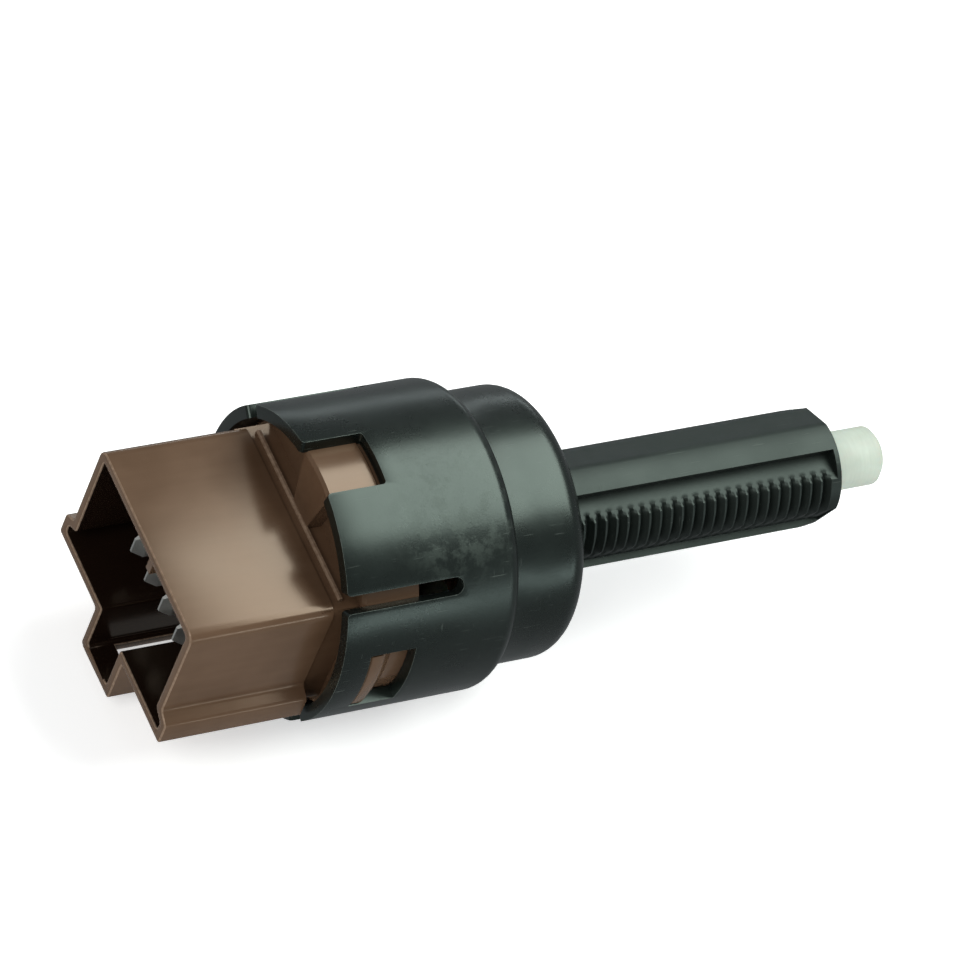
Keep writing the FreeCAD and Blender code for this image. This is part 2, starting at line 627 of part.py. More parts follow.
def coil_line(depth0, depth1, mean_radius, wire_radius, turns):
    """Corner points of a compression spring's centre line, with closed end turns."""
    close = 2.0 * wire_radius * END_TURN_PITCH
    length = depth1 - depth0 - 2.0 * wire_radius - 2.0 * close
    points = []
    for index in range(int((turns + 2.0) * RUNS_PER_TURN) + 1):
        turn = index / RUNS_PER_TURN
        if turn < 1.0:
            rise = close * turn
        elif turn > 1.0 + turns:
            rise = close + length + close * (turn - 1.0 - turns)
        else:
            rise = close + length * (turn - 1.0) / turns
        angle = 2.0 * math.pi * turn
        points.append(FreeCAD.Vector(at(depth0) + wire_radius + rise,
                                     mean_radius * math.cos(angle),
                                     mean_radius * math.sin(angle)))
    return points


def coil(depth0, depth1, mean_radius, wire_radius, turns, y=0.0, z=0.0):
    """Compression spring bent from short straight runs that meet in mitres."""
    points = coil_line(depth0, depth1, mean_radius, wire_radius, turns)
    run = (points[1] - points[0]).normalize()
    side = run.cross(AXIS).normalize()
    lift = side.cross(run)
    ring = []
    for index in range(WIRE_SIDES):
        angle = 2.0 * math.pi * index / WIRE_SIDES
        ring.append(points[0] + side * (wire_radius * math.cos(angle))
                    + lift * (wire_radius * math.sin(angle)))
    faces = [Part.Face(Part.makePolygon(ring + ring[:1]))]
    for index in range(1, len(points)):
        run = (points[index] - points[index - 1]).normalize()
        normal = FreeCAD.Vector(run)
        if index < len(points) - 1:
            normal = run + (points[index + 1] - points[index]).normalize()
        reach = run.dot(normal)
        moved = [p + run * ((points[index] - p).dot(normal) / reach) for p in ring]
        for corner in range(WIRE_SIDES):
            follow = (corner + 1) % WIRE_SIDES
            quad = [ring[corner], ring[follow], moved[follow], moved[corner], ring[corner]]
            faces.append(Part.Face(Part.makePolygon(quad)))
        ring = moved
    faces.append(Part.Face(Part.makePolygon(ring + ring[:1])))
    body = Part.makeSolid(Part.Shell(faces))
    body.translate(FreeCAD.Vector(0, y, z))
    return body


def all_parts():
    """Every piece of the switch under its own name."""
    stop_bottom = STOP_BRIDGE_TOP - BRIDGE_THICKNESS
    cruise_top = CRUISE_BRIDGE_BOTTOM + BRIDGE_THICKNESS
    moving_stop_face = STOP_BRIDGE_TOP + CONTACT_HEIGHT
    moving_cruise_face = CRUISE_BRIDGE_BOTTOM - CONTACT_HEIGHT
    parts = {
        "housing": housing(),
        "connector_base": connector_base(),
        "plunger": plunger(),
        "contact_carrier": carrier(),
        "stop_bridge": bridge(stop_bottom, -LAYER_OFFSET),
        "cruise_bridge": bridge(CRUISE_BRIDGE_BOTTOM, LAYER_OFFSET),
        "stop_bridge_spring": coil(STOP_POCKET_FLOOR + SPRING_SEAT_GAP,
                                   stop_bottom - SPRING_SEAT_GAP, CONTACT_SPRING_RADIUS,
                                   CONTACT_SPRING_WIRE, CONTACT_SPRING_TURNS, 0.0, -LAYER_OFFSET),
        "cruise_bridge_spring": coil(cruise_top + SPRING_SEAT_GAP,
                                     CRUISE_POCKET_ROOF - SPRING_SEAT_GAP, CONTACT_SPRING_RADIUS,
                                     CONTACT_SPRING_WIRE, CONTACT_SPRING_TURNS, 0.0,
                                     LAYER_OFFSET),
        "return_spring": coil(FLOOR_INNER_DEPTH + SPRING_SEAT_GAP, HUB_BORE_END - SPRING_SEAT_GAP,
                              RETURN_SPRING_RADIUS, RETURN_SPRING_WIRE, RETURN_SPRING_TURNS),
    }
    for name, side in (("left", 1), ("right", -1)):
        y = side * CONTACT_OFFSET
        parts["stop_terminal_" + name] = stop_terminal(side)
        parts["cruise_terminal_" + name] = cruise_terminal(side)
        parts["stop_fixed_contact_" + name] = contact(
            STOP_CONTACT_FACE, -1, CONTACT_HEIGHT, STRIP, y, -LAYER_OFFSET)
        parts["cruise_fixed_contact_" + name] = contact(
            CRUISE_CONTACT_FACE, 1, FIXED_CRUISE_HEIGHT, STRIP - SHANK_CUT_BACK, y, LAYER_OFFSET)
        parts["stop_moving_contact_" + name] = contact(
            moving_stop_face, 1, CONTACT_HEIGHT, BRIDGE_THICKNESS, y, -LAYER_OFFSET)
        parts["cruise_moving_contact_" + name] = contact(
            moving_cruise_face, -1, CONTACT_HEIGHT, BRIDGE_THICKNESS, y, LAYER_OFFSET)
    return parts


os.makedirs("parts", exist_ok=True)
for part_name, part_shape in all_parts().items():
    part_shape.exportStep("parts/" + part_name + ".step")
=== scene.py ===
"""Portrait scene of a brake light switch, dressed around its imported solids.

Sizes are in millimetres until a piece is finished. The switch axis is X, the push rod points
towards +X and the origin lies on the axis at the drum's front shoulder.
"""

import logging
import math
from dataclasses import dataclass
from dataclasses import field
from enum import Enum
from typing import Callable
from typing import Iterable
from typing import Sequence

import bmesh
import bpy
from mathutils import Matrix
from mathutils import Vector

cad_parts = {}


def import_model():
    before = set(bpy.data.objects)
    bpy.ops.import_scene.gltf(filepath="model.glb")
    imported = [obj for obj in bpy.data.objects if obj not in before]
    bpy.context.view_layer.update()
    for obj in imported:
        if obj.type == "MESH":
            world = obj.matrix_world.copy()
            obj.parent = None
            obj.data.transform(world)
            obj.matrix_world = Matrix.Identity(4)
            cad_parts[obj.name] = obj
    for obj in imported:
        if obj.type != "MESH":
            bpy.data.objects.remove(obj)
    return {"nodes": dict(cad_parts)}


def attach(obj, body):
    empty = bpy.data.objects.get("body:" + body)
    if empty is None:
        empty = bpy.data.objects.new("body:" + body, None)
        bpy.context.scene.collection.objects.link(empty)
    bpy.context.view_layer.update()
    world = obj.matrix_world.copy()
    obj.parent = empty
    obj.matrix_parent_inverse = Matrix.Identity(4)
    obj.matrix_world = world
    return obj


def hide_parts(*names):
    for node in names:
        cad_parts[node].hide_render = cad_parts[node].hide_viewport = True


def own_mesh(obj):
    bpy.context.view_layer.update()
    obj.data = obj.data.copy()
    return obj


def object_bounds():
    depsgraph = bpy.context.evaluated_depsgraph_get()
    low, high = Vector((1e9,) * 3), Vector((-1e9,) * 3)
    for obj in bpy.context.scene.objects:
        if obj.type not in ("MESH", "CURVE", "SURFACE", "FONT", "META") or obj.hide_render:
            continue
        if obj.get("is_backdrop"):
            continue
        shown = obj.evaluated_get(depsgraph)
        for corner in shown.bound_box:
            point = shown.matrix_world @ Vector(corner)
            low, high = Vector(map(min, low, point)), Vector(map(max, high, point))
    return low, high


MM = 0.001
RIM_X = -23.3
MOUTH_X = -36.4
AXIS = Vector((1.0, 0.0, 0.0))
CENTRE = Vector((0.0, 0.0, 0.0))
TOUCH = 1e-4
LOG = logging.getLogger("brake_switch")

Colour = tuple[float, float, float]


class Body(Enum):
    """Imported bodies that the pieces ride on."""

    SWITCH = "switch_body"
    PLUNGER = "plunger_body"


class Slot(Enum):
    """Material slots of the record."""

    HOUSING = "housing_black"
    BASE = "base_brown"
    PLUNGER = "plunger_white"
    SPRING = "spring_wire"


class Wire:
    """One shader value. Python operators on it add Math nodes to its graph."""

    def __init__(self, graph: "Graph", socket: bpy.types.NodeSocket) -> None:
        """Wraps an output socket.

        Args:
            graph: Graph that the socket's node is in.
            socket: Output socket that carries the value.
        """
        self.graph = graph
        self.socket = socket

    def _math(self, operation: str, first: object, second: object) -> "Wire":
        """Adds one Math node.

        Args:
            operation: Name of the Math node's operation.
            first: Value or wire of the first input.
            second: Value or wire of the second input.

        Returns:
            The node's result.
        """
        settings = {"operation": operation}
        made = self.graph.node("ShaderNodeMath", settings, {0: first, 1: second})
        return Wire(self.graph, made.outputs[0])

    def __add__(self, other: object) -> "Wire":
        """Sum."""
        return self._math("ADD", self, other)

    def __radd__(self, other: object) -> "Wire":
        """Sum with the value on the left."""
        return self._math("ADD", other, self)

    def __sub__(self, other: object) -> "Wire":
        """Difference."""
        return self._math("SUBTRACT", self, other)

    def __rsub__(self, other: object) -> "Wire":
        """Difference with the value on the left."""
        return self._math("SUBTRACT", other, self)

    def __mul__(self, other: object) -> "Wire":
        """Product."""
        return self._math("MULTIPLY", self, other)

    def __rmul__(self, other: object) -> "Wire":
        """Product with the value on the left."""
        return self._math("MULTIPLY", other, self)

    def largest(self, other: object) -> "Wire":
        """Larger of two values."""
        return self._math("MAXIMUM", self, other)


class Graph:
    """Node graph of one material around its surface shader."""

    def __init__(self, name: str) -> None:
        """Starts an empty material.

        Args:
            name: Name of the material.
        """
        self.material = bpy.data.materials.new(name)
        self.material.use_nodes = True
        self.tree = self.material.node_tree
        self.tree.nodes.clear()
        self.output = self.tree.nodes.new("ShaderNodeOutputMaterial")
        self.surface = self.tree.nodes.new("ShaderNodeBsdfPrincipled")
        self.tree.links.new(self.surface.outputs[0], self.output.inputs["Surface"])
        places = self.tree.nodes.new("ShaderNodeTexCoord")
        self.place = places.outputs["Object"]

    def node(self, kind: str, settings: dict[str, object],
             inputs: dict[object, object]) -> bpy.types.Node:
        """Adds any node.

        Args:
            kind: Node type.
            settings: Properties that are set first. The key stops holds a ramp's positions
                and colours.
            inputs: Values, sockets or wires by input name or number.

        Returns:
            The node.
        """
        made = self.tree.nodes.new(kind)
        for key, value in settings.items():
            if key == "stops":
                self._stops(made.color_ramp, value)
            else:
                setattr(made, key, value)
        for key, value in inputs.items():
            socket = made.inputs[key]
            if isinstance(value, Wire):
                self.tree.links.new(value.socket, socket)
            elif isinstance(value, bpy.types.NodeSocket):
                self.tree.links.new(value, socket)
            else:
                socket.default_value = value
        return made

    @staticmethod
    def _stops(ramp: bpy.types.ColorRamp, stops: Sequence[tuple[float, float]]) -> None:
        """Sets a grey ramp's stops.

        Args:
            ramp: Colour ramp of the node.
            stops: Position and grey level of each stop, in order.
        """
        while len(ramp.elements) < len(stops):
            ramp.elements.new(1.0)
        for element, (place, level) in zip(ramp.elements, stops):
            element.position = place
            element.color = (level, level, level, 1.0)

    def stretched(self, scale: Sequence[float]) -> bpy.types.NodeSocket:
        """Object coordinates with their own scale along each axis.

        Args:
            scale: Factor along X, Y and Z.

        Returns:
            The stretched coordinates.
        """
        settings = {"vector_type": "POINT"}
        made = self.node("ShaderNodeMapping", settings, {"Vector": self.place, "Scale": scale})
        return made.outputs[0]

    def noise(self, size: float, detail: float = 3.0, roughness: float = 0.5,
              place: bpy.types.NodeSocket | None = None) -> Wire:
        """Soft noise over the surface.

        Args:
            size: Typical width of a patch in millimetres.
            detail: Octaves of finer noise.
            roughness: Weight of the finer octaves.
            place: Coordinates to use in place of the object's own.

        Returns:
            Noise between nought and one.
        """
        inputs = {"Vector": place or self.place, "Scale": 1.0 / (size * MM),
                  "Detail": detail, "Roughness": roughness}
        made = self.node("ShaderNodeTexNoise", {"noise_dimensions": "3D"}, inputs)
        return Wire(self, made.outputs[0])

    def ramp(self, value: Wire, stops: Sequence[tuple[float, float]]) -> Wire:
        """Maps a value through grey stops.

        Args:
            value: Value to map.
            stops: Position and grey level of each stop.

        Returns:
            The mapped value.
        """
        made = self.node("ShaderNodeValToRGB", {"stops": stops}, {0: value})
        return Wire(self, made.outputs[0])

    def blend(self, factor: Wire, low: object, high: object) -> bpy.types.NodeSocket:
        """Mixes two colours.

        Args:
            factor: Share of the second colour.
            low: First colour or colour socket.
            high: Second colour or colour socket.

        Returns:
            Socket of the mixed colour.
        """
        colours = [c if isinstance(c, bpy.types.NodeSocket) else (*c, 1.0) for c in (low, high)]
        inputs = {0: factor, 6: colours[0], 7: colours[1]}
        made = self.node("ShaderNodeMix", {"data_type": "RGBA"}, inputs)
        return made.outputs[2]

    def near(self, place: Sequence[float], reach: float) -> Wire:
        """Share that falls from one at a point to nought at a distance from it.

        Args:
            place: Point in the row frame, in millimetres.
            reach: Distance in millimetres at which nothing is left.

        Returns:
            The share.
        """
        point = tuple(value * MM for value in place)
        made = self.node("ShaderNodeVectorMath", {"operation": "DISTANCE"},
                         {0: self.place, 1: point})
        far = Wire(self, made.outputs["Value"]) * (1.0 / (reach * MM))
        return self.ramp(far, ((0.35, 1.0), (1.0, 0.0)))

    def attribute(self, name: str) -> Wire:
        """Value of a mesh attribute."""
        made = self.node("ShaderNodeAttribute", {"attribute_name": name}, {})
        return Wire(self, made.outputs["Fac"])

    def set(self, name: str, value: object) -> None:
        """Sets or links one input of the surface shader.

        Args:
            name: Name of the input.
            value: Number, colour, wire or socket.
        """
        socket = self.surface.inputs[name]
        if isinstance(value, Wire):
            self.tree.links.new(value.socket, socket)
        elif isinstance(value, bpy.types.NodeSocket):
            self.tree.links.new(value, socket)
        elif isinstance(value, tuple):
            socket.default_value = (*value, 1.0)
        else:
            socket.default_value = value

    def bump(self, height: Wire, depth: float, strength: float = 1.0) -> None:
        """Links a height to the surface normal.

        Args:
            height: Height between nought and one.
            depth: Depth of the full height in millimetres.
            strength: Share of the effect.
        """
        inputs = {"Height": height, "Distance": depth * MM, "Strength": strength}
        made = self.node("ShaderNodeBump", {}, inputs)
        self.set("Normal", made.outputs[0])


@dataclass(frozen=True)
class BlackNylon:
    """Black moulded nylon: satin skin, faint flow mottle, handling scratches, pale worn edges and
    painted highlight strips along the drum's front edges.
    """

    name: str = "black_nylon"
    deep: Colour = (0.0025, 0.0036, 0.0032)
    dusty: Colour = (0.006, 0.0085, 0.0075)
    scuffed: Colour = (0.05, 0.063, 0.053)
    edge: Colour = (0.2, 0.23, 0.205)
    gloss: Colour = (0.82, 1.0, 0.9)

    def make(self) -> bpy.types.Material:
        """Builds the material."""
        graph = Graph(self.name)
        cloud = graph.noise(7.0, 4.0, 0.55)
        fleck = graph.noise(0.35, 3.0, 0.6)
        mottle = graph.ramp(cloud * 0.8 + fleck * 0.2, ((0.42, 0.0), (0.68, 1.0)))
        along_place = graph.stretched((0.05, 1.0, 1.0))
        along = graph.ramp(graph.noise(0.12, 2.0, 0.4, along_place), ((0.7, 0.0), (0.78, 1.0)))
        round_place = graph.stretched((1.0, 0.08, 0.08))
        around = graph.ramp(graph.noise(0.15, 2.0, 0.4, round_place), ((0.73, 0.0), (0.8, 1.0)))
        marks = along.largest(around * 0.7)
        body = graph.blend(mottle * 0.7, self.deep, self.dusty)
        marked = graph.blend(marks * 0.2, body, self.edge)
        patch = graph.near((-12.5, -5.2, 11.9), 7.0)
        blotch = graph.ramp(graph.noise(1.3, 5.0, 0.68), ((0.47, 0.0), (0.6, 1.0)))
        rubbed = patch * blotch
        scuffs = graph.blend(rubbed * 0.55, marked, self.scuffed)
        # The wear attribute also holds painted highlight strips, so this pale edge colour is partly
        # wear and partly painted highlight.
        worn = graph.attribute("wear_and_highlight") * graph.ramp(fleck, ((0.3, 0.55), (0.7, 1.0)))
        graph.set("Base Color", graph.blend(worn * 0.6, scuffs, self.edge))
        dull = graph.attribute("dull")
        graph.set("Roughness",
                  0.27 + mottle * 0.08 + marks * 0.12 + rubbed * 0.12 + dull * 0.2)
        graph.set("IOR", 1.56)
        graph.set("Specular Tint", self.gloss)
        grain = graph.noise(0.18, 3.0, 0.6)
        graph.bump(grain * 0.55 + cloud * 0.3 - marks * 0.3 + rubbed * 0.5, 0.012, 0.6)
        return graph.material


@dataclass(frozen=True)
class BrownMoulding:
    """Glossy brown moulded plastic with drawing streaks along its length and painted shade inside
    the socket.
    """

    name: str = "brown_moulding"
    deep: Colour = (0.082, 0.046, 0.026)
    warm: Colour = (0.11, 0.064, 0.038)
    # Near-black painted shade for the socket's inside.
    painted_hollow_shade: Colour = (0.008, 0.004, 0.0025)
    edge: Colour = (0.34, 0.24, 0.17)
    gloss: Colour = (1.0, 0.8, 0.62)

    def make(self) -> bpy.types.Material:
        """Builds the material."""
        graph = Graph(self.name)
        cloud = graph.noise(8.0, 3.0, 0.5)
        streak_place = graph.stretched((0.12, 1.0, 1.0))
        streak = graph.noise(0.9, 3.0, 0.5, streak_place)
        tone = graph.ramp(cloud * 0.8 + streak * 0.2, ((0.36, 0.0), (0.66, 1.0)))
        body = graph.blend(tone, self.deep, self.warm)
        # Painted shade: faces marked dull inside the socket are darkened almost to black.
        inside = graph.blend(graph.attribute("dull"), body, self.painted_hollow_shade)
        fleck = graph.noise(0.4, 3.0, 0.6)
        # The wear attribute also holds the ridge top's painted highlight, so this pale edge colour
        # is partly wear and partly painted highlight.
        worn = graph.attribute("wear_and_highlight") * graph.ramp(fleck, ((0.3, 0.35), (0.7, 1.0)))
        graph.set("Base Color", graph.blend(worn * 0.6, inside, self.edge))
        graph.set("Roughness", 0.15 + tone * 0.06 + fleck * 0.05)
        graph.set("IOR", 1.62)
        graph.set("Specular Tint", self.gloss)
        wave = graph.noise(5.0, 2.0, 0.4)
        graph.bump(wave * 0.8 + streak * 0.1 + fleck * 0.1, 0.02, 0.3)
        return graph.material


@dataclass(frozen=True)
class PaleAcetal:
    """Off-white acetal with a waxy sheen and faint grey handling marks."""

    name: str = "pale_acetal"
    clean: Colour = (0.52, 0.58, 0.5)
    handled: Colour = (0.44, 0.49, 0.42)

    def make(self) -> bpy.types.Material:
        """Builds the material."""
        graph = Graph(self.name)
        cloud = graph.noise(2.5, 3.0, 0.5)
        ring_place = graph.stretched((1.0, 0.1, 0.1))
        rings = graph.noise(0.2, 2.0, 0.5, ring_place)
        tone = graph.ramp(cloud * 0.7 + rings * 0.3, ((0.35, 0.0), (0.7, 1.0)))
        graph.set("Base Color", graph.blend(tone, self.clean, self.handled))
        graph.set("Roughness", 0.4 + tone * 0.15)
        graph.set("Subsurface Weight", 0.15)
        graph.set("Subsurface Scale", 0.0015)
        graph.bump(rings * 0.5 + cloud * 0.5, 0.01, 0.4)
        return graph.material


@dataclass(frozen=True)
class BrightMetal:
    """Bright metal with rolling or drawing marks."""

    name: str
    bright: Colour
    dull: Colour
    rough: float = 0.25
    grain: tuple[float, float, float] = (0.08, 1.0, 1.0)

    def make(self) -> bpy.types.Material:
        """Builds the material."""
        graph = Graph(self.name)
        line = graph.noise(0.1, 2.0, 0.5, graph.stretched(self.grain))
        stain = graph.ramp(graph.noise(1.4, 3.0, 0.6), ((0.4, 0.0), (0.75, 1.0)))
        graph.set("Base Color", graph.blend(stain * 0.7 + line * 0.2, self.bright, self.dull))
        graph.set("Metallic", 1.0)
        graph.set("Roughness", self.rough + stain * 0.15 + line * 0.08)
        graph.bump(line, 0.004, 0.5)
        return graph.material


@dataclass(frozen=True)
class PaleFloor:
    """Plain pale studio floor, lit a little from below like a light table."""

    name: str = "pale_floor"
    paper: Colour = (0.9, 0.9, 0.9)
    glow: float = 0.55

    def make(self) -> bpy.types.Material:
        """Builds the material."""
        graph = Graph(self.name)
        graph.set("Base Color", self.paper)
        graph.set("Roughness", 0.9)
        graph.set("Emission Color", self.paper)
        graph.set("Emission Strength", self.glow)
        return graph.material


class Bench:
    """Bmesh helpers for one piece, in millimetres."""

    def __init__(self) -> None:
        """Starts an empty mesh with two attributes on its face corners: one for worn edges and
        painted highlights, one for matte faces and the socket's painted shade.
        """
        self.mesh = bmesh.new()
        self.wear_and_highlight = self.mesh.loops.layers.float.new("wear_and_highlight")
        self.dull = self.mesh.loops.layers.float.new("dull")

    def ring(self, points: Iterable[Sequence[float]]) -> list[bmesh.types.BMEdge]:
        """Makes a closed loop of edges.

        Args:
            points: Corners in order.

        Returns:
            The loop's edges.
        """
        verts = [self.mesh.verts.new(point) for point in points]
        pairs = zip(verts, verts[1:] + verts[:1])
        return [self.mesh.edges.new(pair) for pair in pairs]

    def plate(self, points: Iterable[Sequence[float]]) -> bmesh.types.BMFace:
        """Makes one flat face.

        Args:
            points: Corners in order.

        Returns:
            The face.
        """
        face = self.mesh.faces.new([self.mesh.verts.new(point) for point in points])
        face.normal_update()
        return face

    def thicken(self, faces: list[bmesh.types.BMFace], step: Vector) -> list[bmesh.types.BMFace]:
        """Turns open faces into a closed slab.

        Args:
            faces: Faces that stay as one side.
            step: Way from them to the other side.

        Returns:
            The faces of the other side.
        """
        made = bmesh.ops.extrude_face_region(self.mesh, geom=faces, use_keep_orig=True)["geom"]
        verts = [item for item in made if isinstance(item, bmesh.types.BMVert)]
        bmesh.ops.translate(self.mesh, verts=verts, vec=step)
        self.mesh.normal_update()
        return [item for item in made if isinstance(item, bmesh.types.BMFace)]

    def slice(self, place: Vector, normal: Vector,
              faces: list[bmesh.types.BMFace] | None = None) -> None:
        """Cuts edges across faces along a plane without removing anything.

        Args:
            place: Point on the plane.
            normal: The plane's normal.
            faces: Faces to cut, or all of them.
        """
        chosen = self.mesh.faces[:] if faces is None else faces
        edges = {edge for face in chosen for edge in face.edges}
        verts = {vert for face in chosen for vert in face.verts}
        bmesh.ops.bisect_plane(self.mesh, geom=[*chosen, *edges, *verts], dist=1e-5,
                               plane_co=place, plane_no=normal)

    def soften(self, edges: list[bmesh.types.BMEdge], width: float, segments: int = 2,
               worn: float = 0.0) -> None:
        """Rounds edges and marks the new faces as worn.

        Args:
            edges: Edges to round.
            width: Width of the rounding.
            segments: Faces across it.
            worn: Wear of the new faces, from nought to one.
        """
        made = bmesh.ops.bevel(self.mesh, geom=edges, offset=width, offset_type="OFFSET",
                               segments=segments, profile=0.5, affect="EDGES", material=-1,
                               clamp_overlap=True)
        self.paint(self.wear_and_highlight, made["faces"], worn)

    def round_corners(self, verts: list[bmesh.types.BMVert], radius: float,
                      segments: int = 5) -> None:
        """Rounds corners of a flat face.

        Args:
            verts: Corners to round.
            radius: Radius of the rounding.
            segments: Edges along each arc.
        """
        bmesh.ops.bevel(self.mesh, geom=verts, offset=radius, offset_type="OFFSET",
                        segments=segments, profile=0.5, affect="VERTICES", material=-1)

    def paint(self, layer: bmesh.types.BMLayerItem, faces: Iterable[bmesh.types.BMFace],
              level: float) -> None:
        """Gives faces one level of an attribute.

        Args:
            layer: The attribute's layer.
            faces: Faces to paint.
            level: Level from nought to one.
        """
        for face in faces:
            for loop in face.loops:
                loop[layer] = level

    def turn(self, outline: Iterable[tuple[float, float]], steps: int, start: float = 0.0,
             sweep: float = 360.0) -> None:
        """Turns a closed outline about the switch axis.

        Args:
            outline: Points as X and radius, in order.
            steps: Faces along the sweep.
            start: Angle from the top where it starts, in degrees.
            sweep: Angle that it covers, in degrees.
        """
        points = [(x, 0.0, radius) for x, radius in outline]
        edges = self.ring(points)
        verts = list({vert for edge in edges for vert in edge.verts})
        if points[0][2] == 0.0 and points[-1][2] == 0.0:
            bmesh.ops.delete(self.mesh, geom=[edges.pop()], context="EDGES")
        bmesh.ops.rotate(self.mesh, verts=verts, cent=CENTRE,
                         matrix=Matrix.Rotation(math.radians(start), 3, "X"))
        whole = sweep >= 360.0
        before = set(self.mesh.edges)
        bmesh.ops.spin(self.mesh, geom=[*edges, *verts], cent=CENTRE, axis=AXIS,
                       angle=math.radians(sweep), steps=steps, use_merge=whole)
        if not whole:
            made = [e for e in self.mesh.edges if e.is_boundary and (e in edges or e not in before)]
            bmesh.ops.edgeloop_fill(self.mesh, edges=made)

    def merge(self, gap: float = 0.002) -> None:
        """Joins vertices that lie together."""
        bmesh.ops.remove_doubles(self.mesh, verts=self.mesh.verts[:], dist=gap)

    def finish(self, name: str, finish: object, body: Body, slot: Slot, nodes: Sequence[str],
               sharp: float = 38.0) -> bpy.types.Object:
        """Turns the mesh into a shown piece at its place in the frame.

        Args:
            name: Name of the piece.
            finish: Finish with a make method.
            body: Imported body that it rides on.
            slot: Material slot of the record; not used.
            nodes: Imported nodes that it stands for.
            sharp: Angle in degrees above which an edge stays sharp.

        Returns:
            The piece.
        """
        bmesh.ops.recalc_face_normals(self.mesh, faces=self.mesh.faces[:])
        bmesh.ops.scale(self.mesh, vec=Vector((MM, MM, MM)), verts=self.mesh.verts[:])
        data = bpy.data.meshes.new(name)
        self.mesh.to_mesh(data)
        self.mesh.free()
        data.shade_smooth()
        data.set_sharp_from_angle(angle=math.radians(sharp))
        data.materials.append(finish.make())
        piece = bpy.data.objects.new(name, data)
        bpy.context.scene.collection.objects.link(piece)
        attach(piece, body.value)
        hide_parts(*nodes)
        LOG.info("%s: %d faces", name, len(data.polygons))
        return piece


@dataclass(frozen=True)
class Run:
    """Stretch of a profile: its length and how far it turns towards the axis, in degrees."""

    length: float
    turn: float = 0.0
    cuts: int = 1


@dataclass
class Profile:
    """Path in the plane of X and radius that starts along +X."""

    start: tuple[float, float]
    runs: tuple[Run, ...]

    def length(self) -> float:
        """Whole length of the path."""
        return sum(run.length for run in self.runs)

    def stations(self) -> list[float]:
        """Path lengths at which the sheet needs an edge."""
        places = []
        total = 0.0
        for run in self.runs:
            places += [total + run.length * (k + 1) / run.cuts for k in range(run.cuts)]
            total += run.length
        return places[:-1]

    def at(self, distance: float) -> tuple[Vector, Vector]:
        """Point and outward normal on the path.

        Args:
            distance: Length along the path.

        Returns:
            The point and the normal, each as X and radius.
        """
        place = Vector(self.start)
        heading = 0.0
        left = distance
        for run in self.runs:
            part = min(left, run.length)
            bend = -math.radians(run.turn) * part / run.length
            if run.turn:
                radius = part / bend if bend else 0.0
                turned = heading + bend
                place += radius * Vector((math.sin(turned) - math.sin(heading),
                                          math.cos(heading) - math.cos(turned)))
                heading = turned
            else:
                place += part * Vector((math.cos(heading), math.sin(heading)))
            left -= part
            if left <= 1e-9:
                break
        return place, Vector((-math.sin(heading), math.cos(heading)))


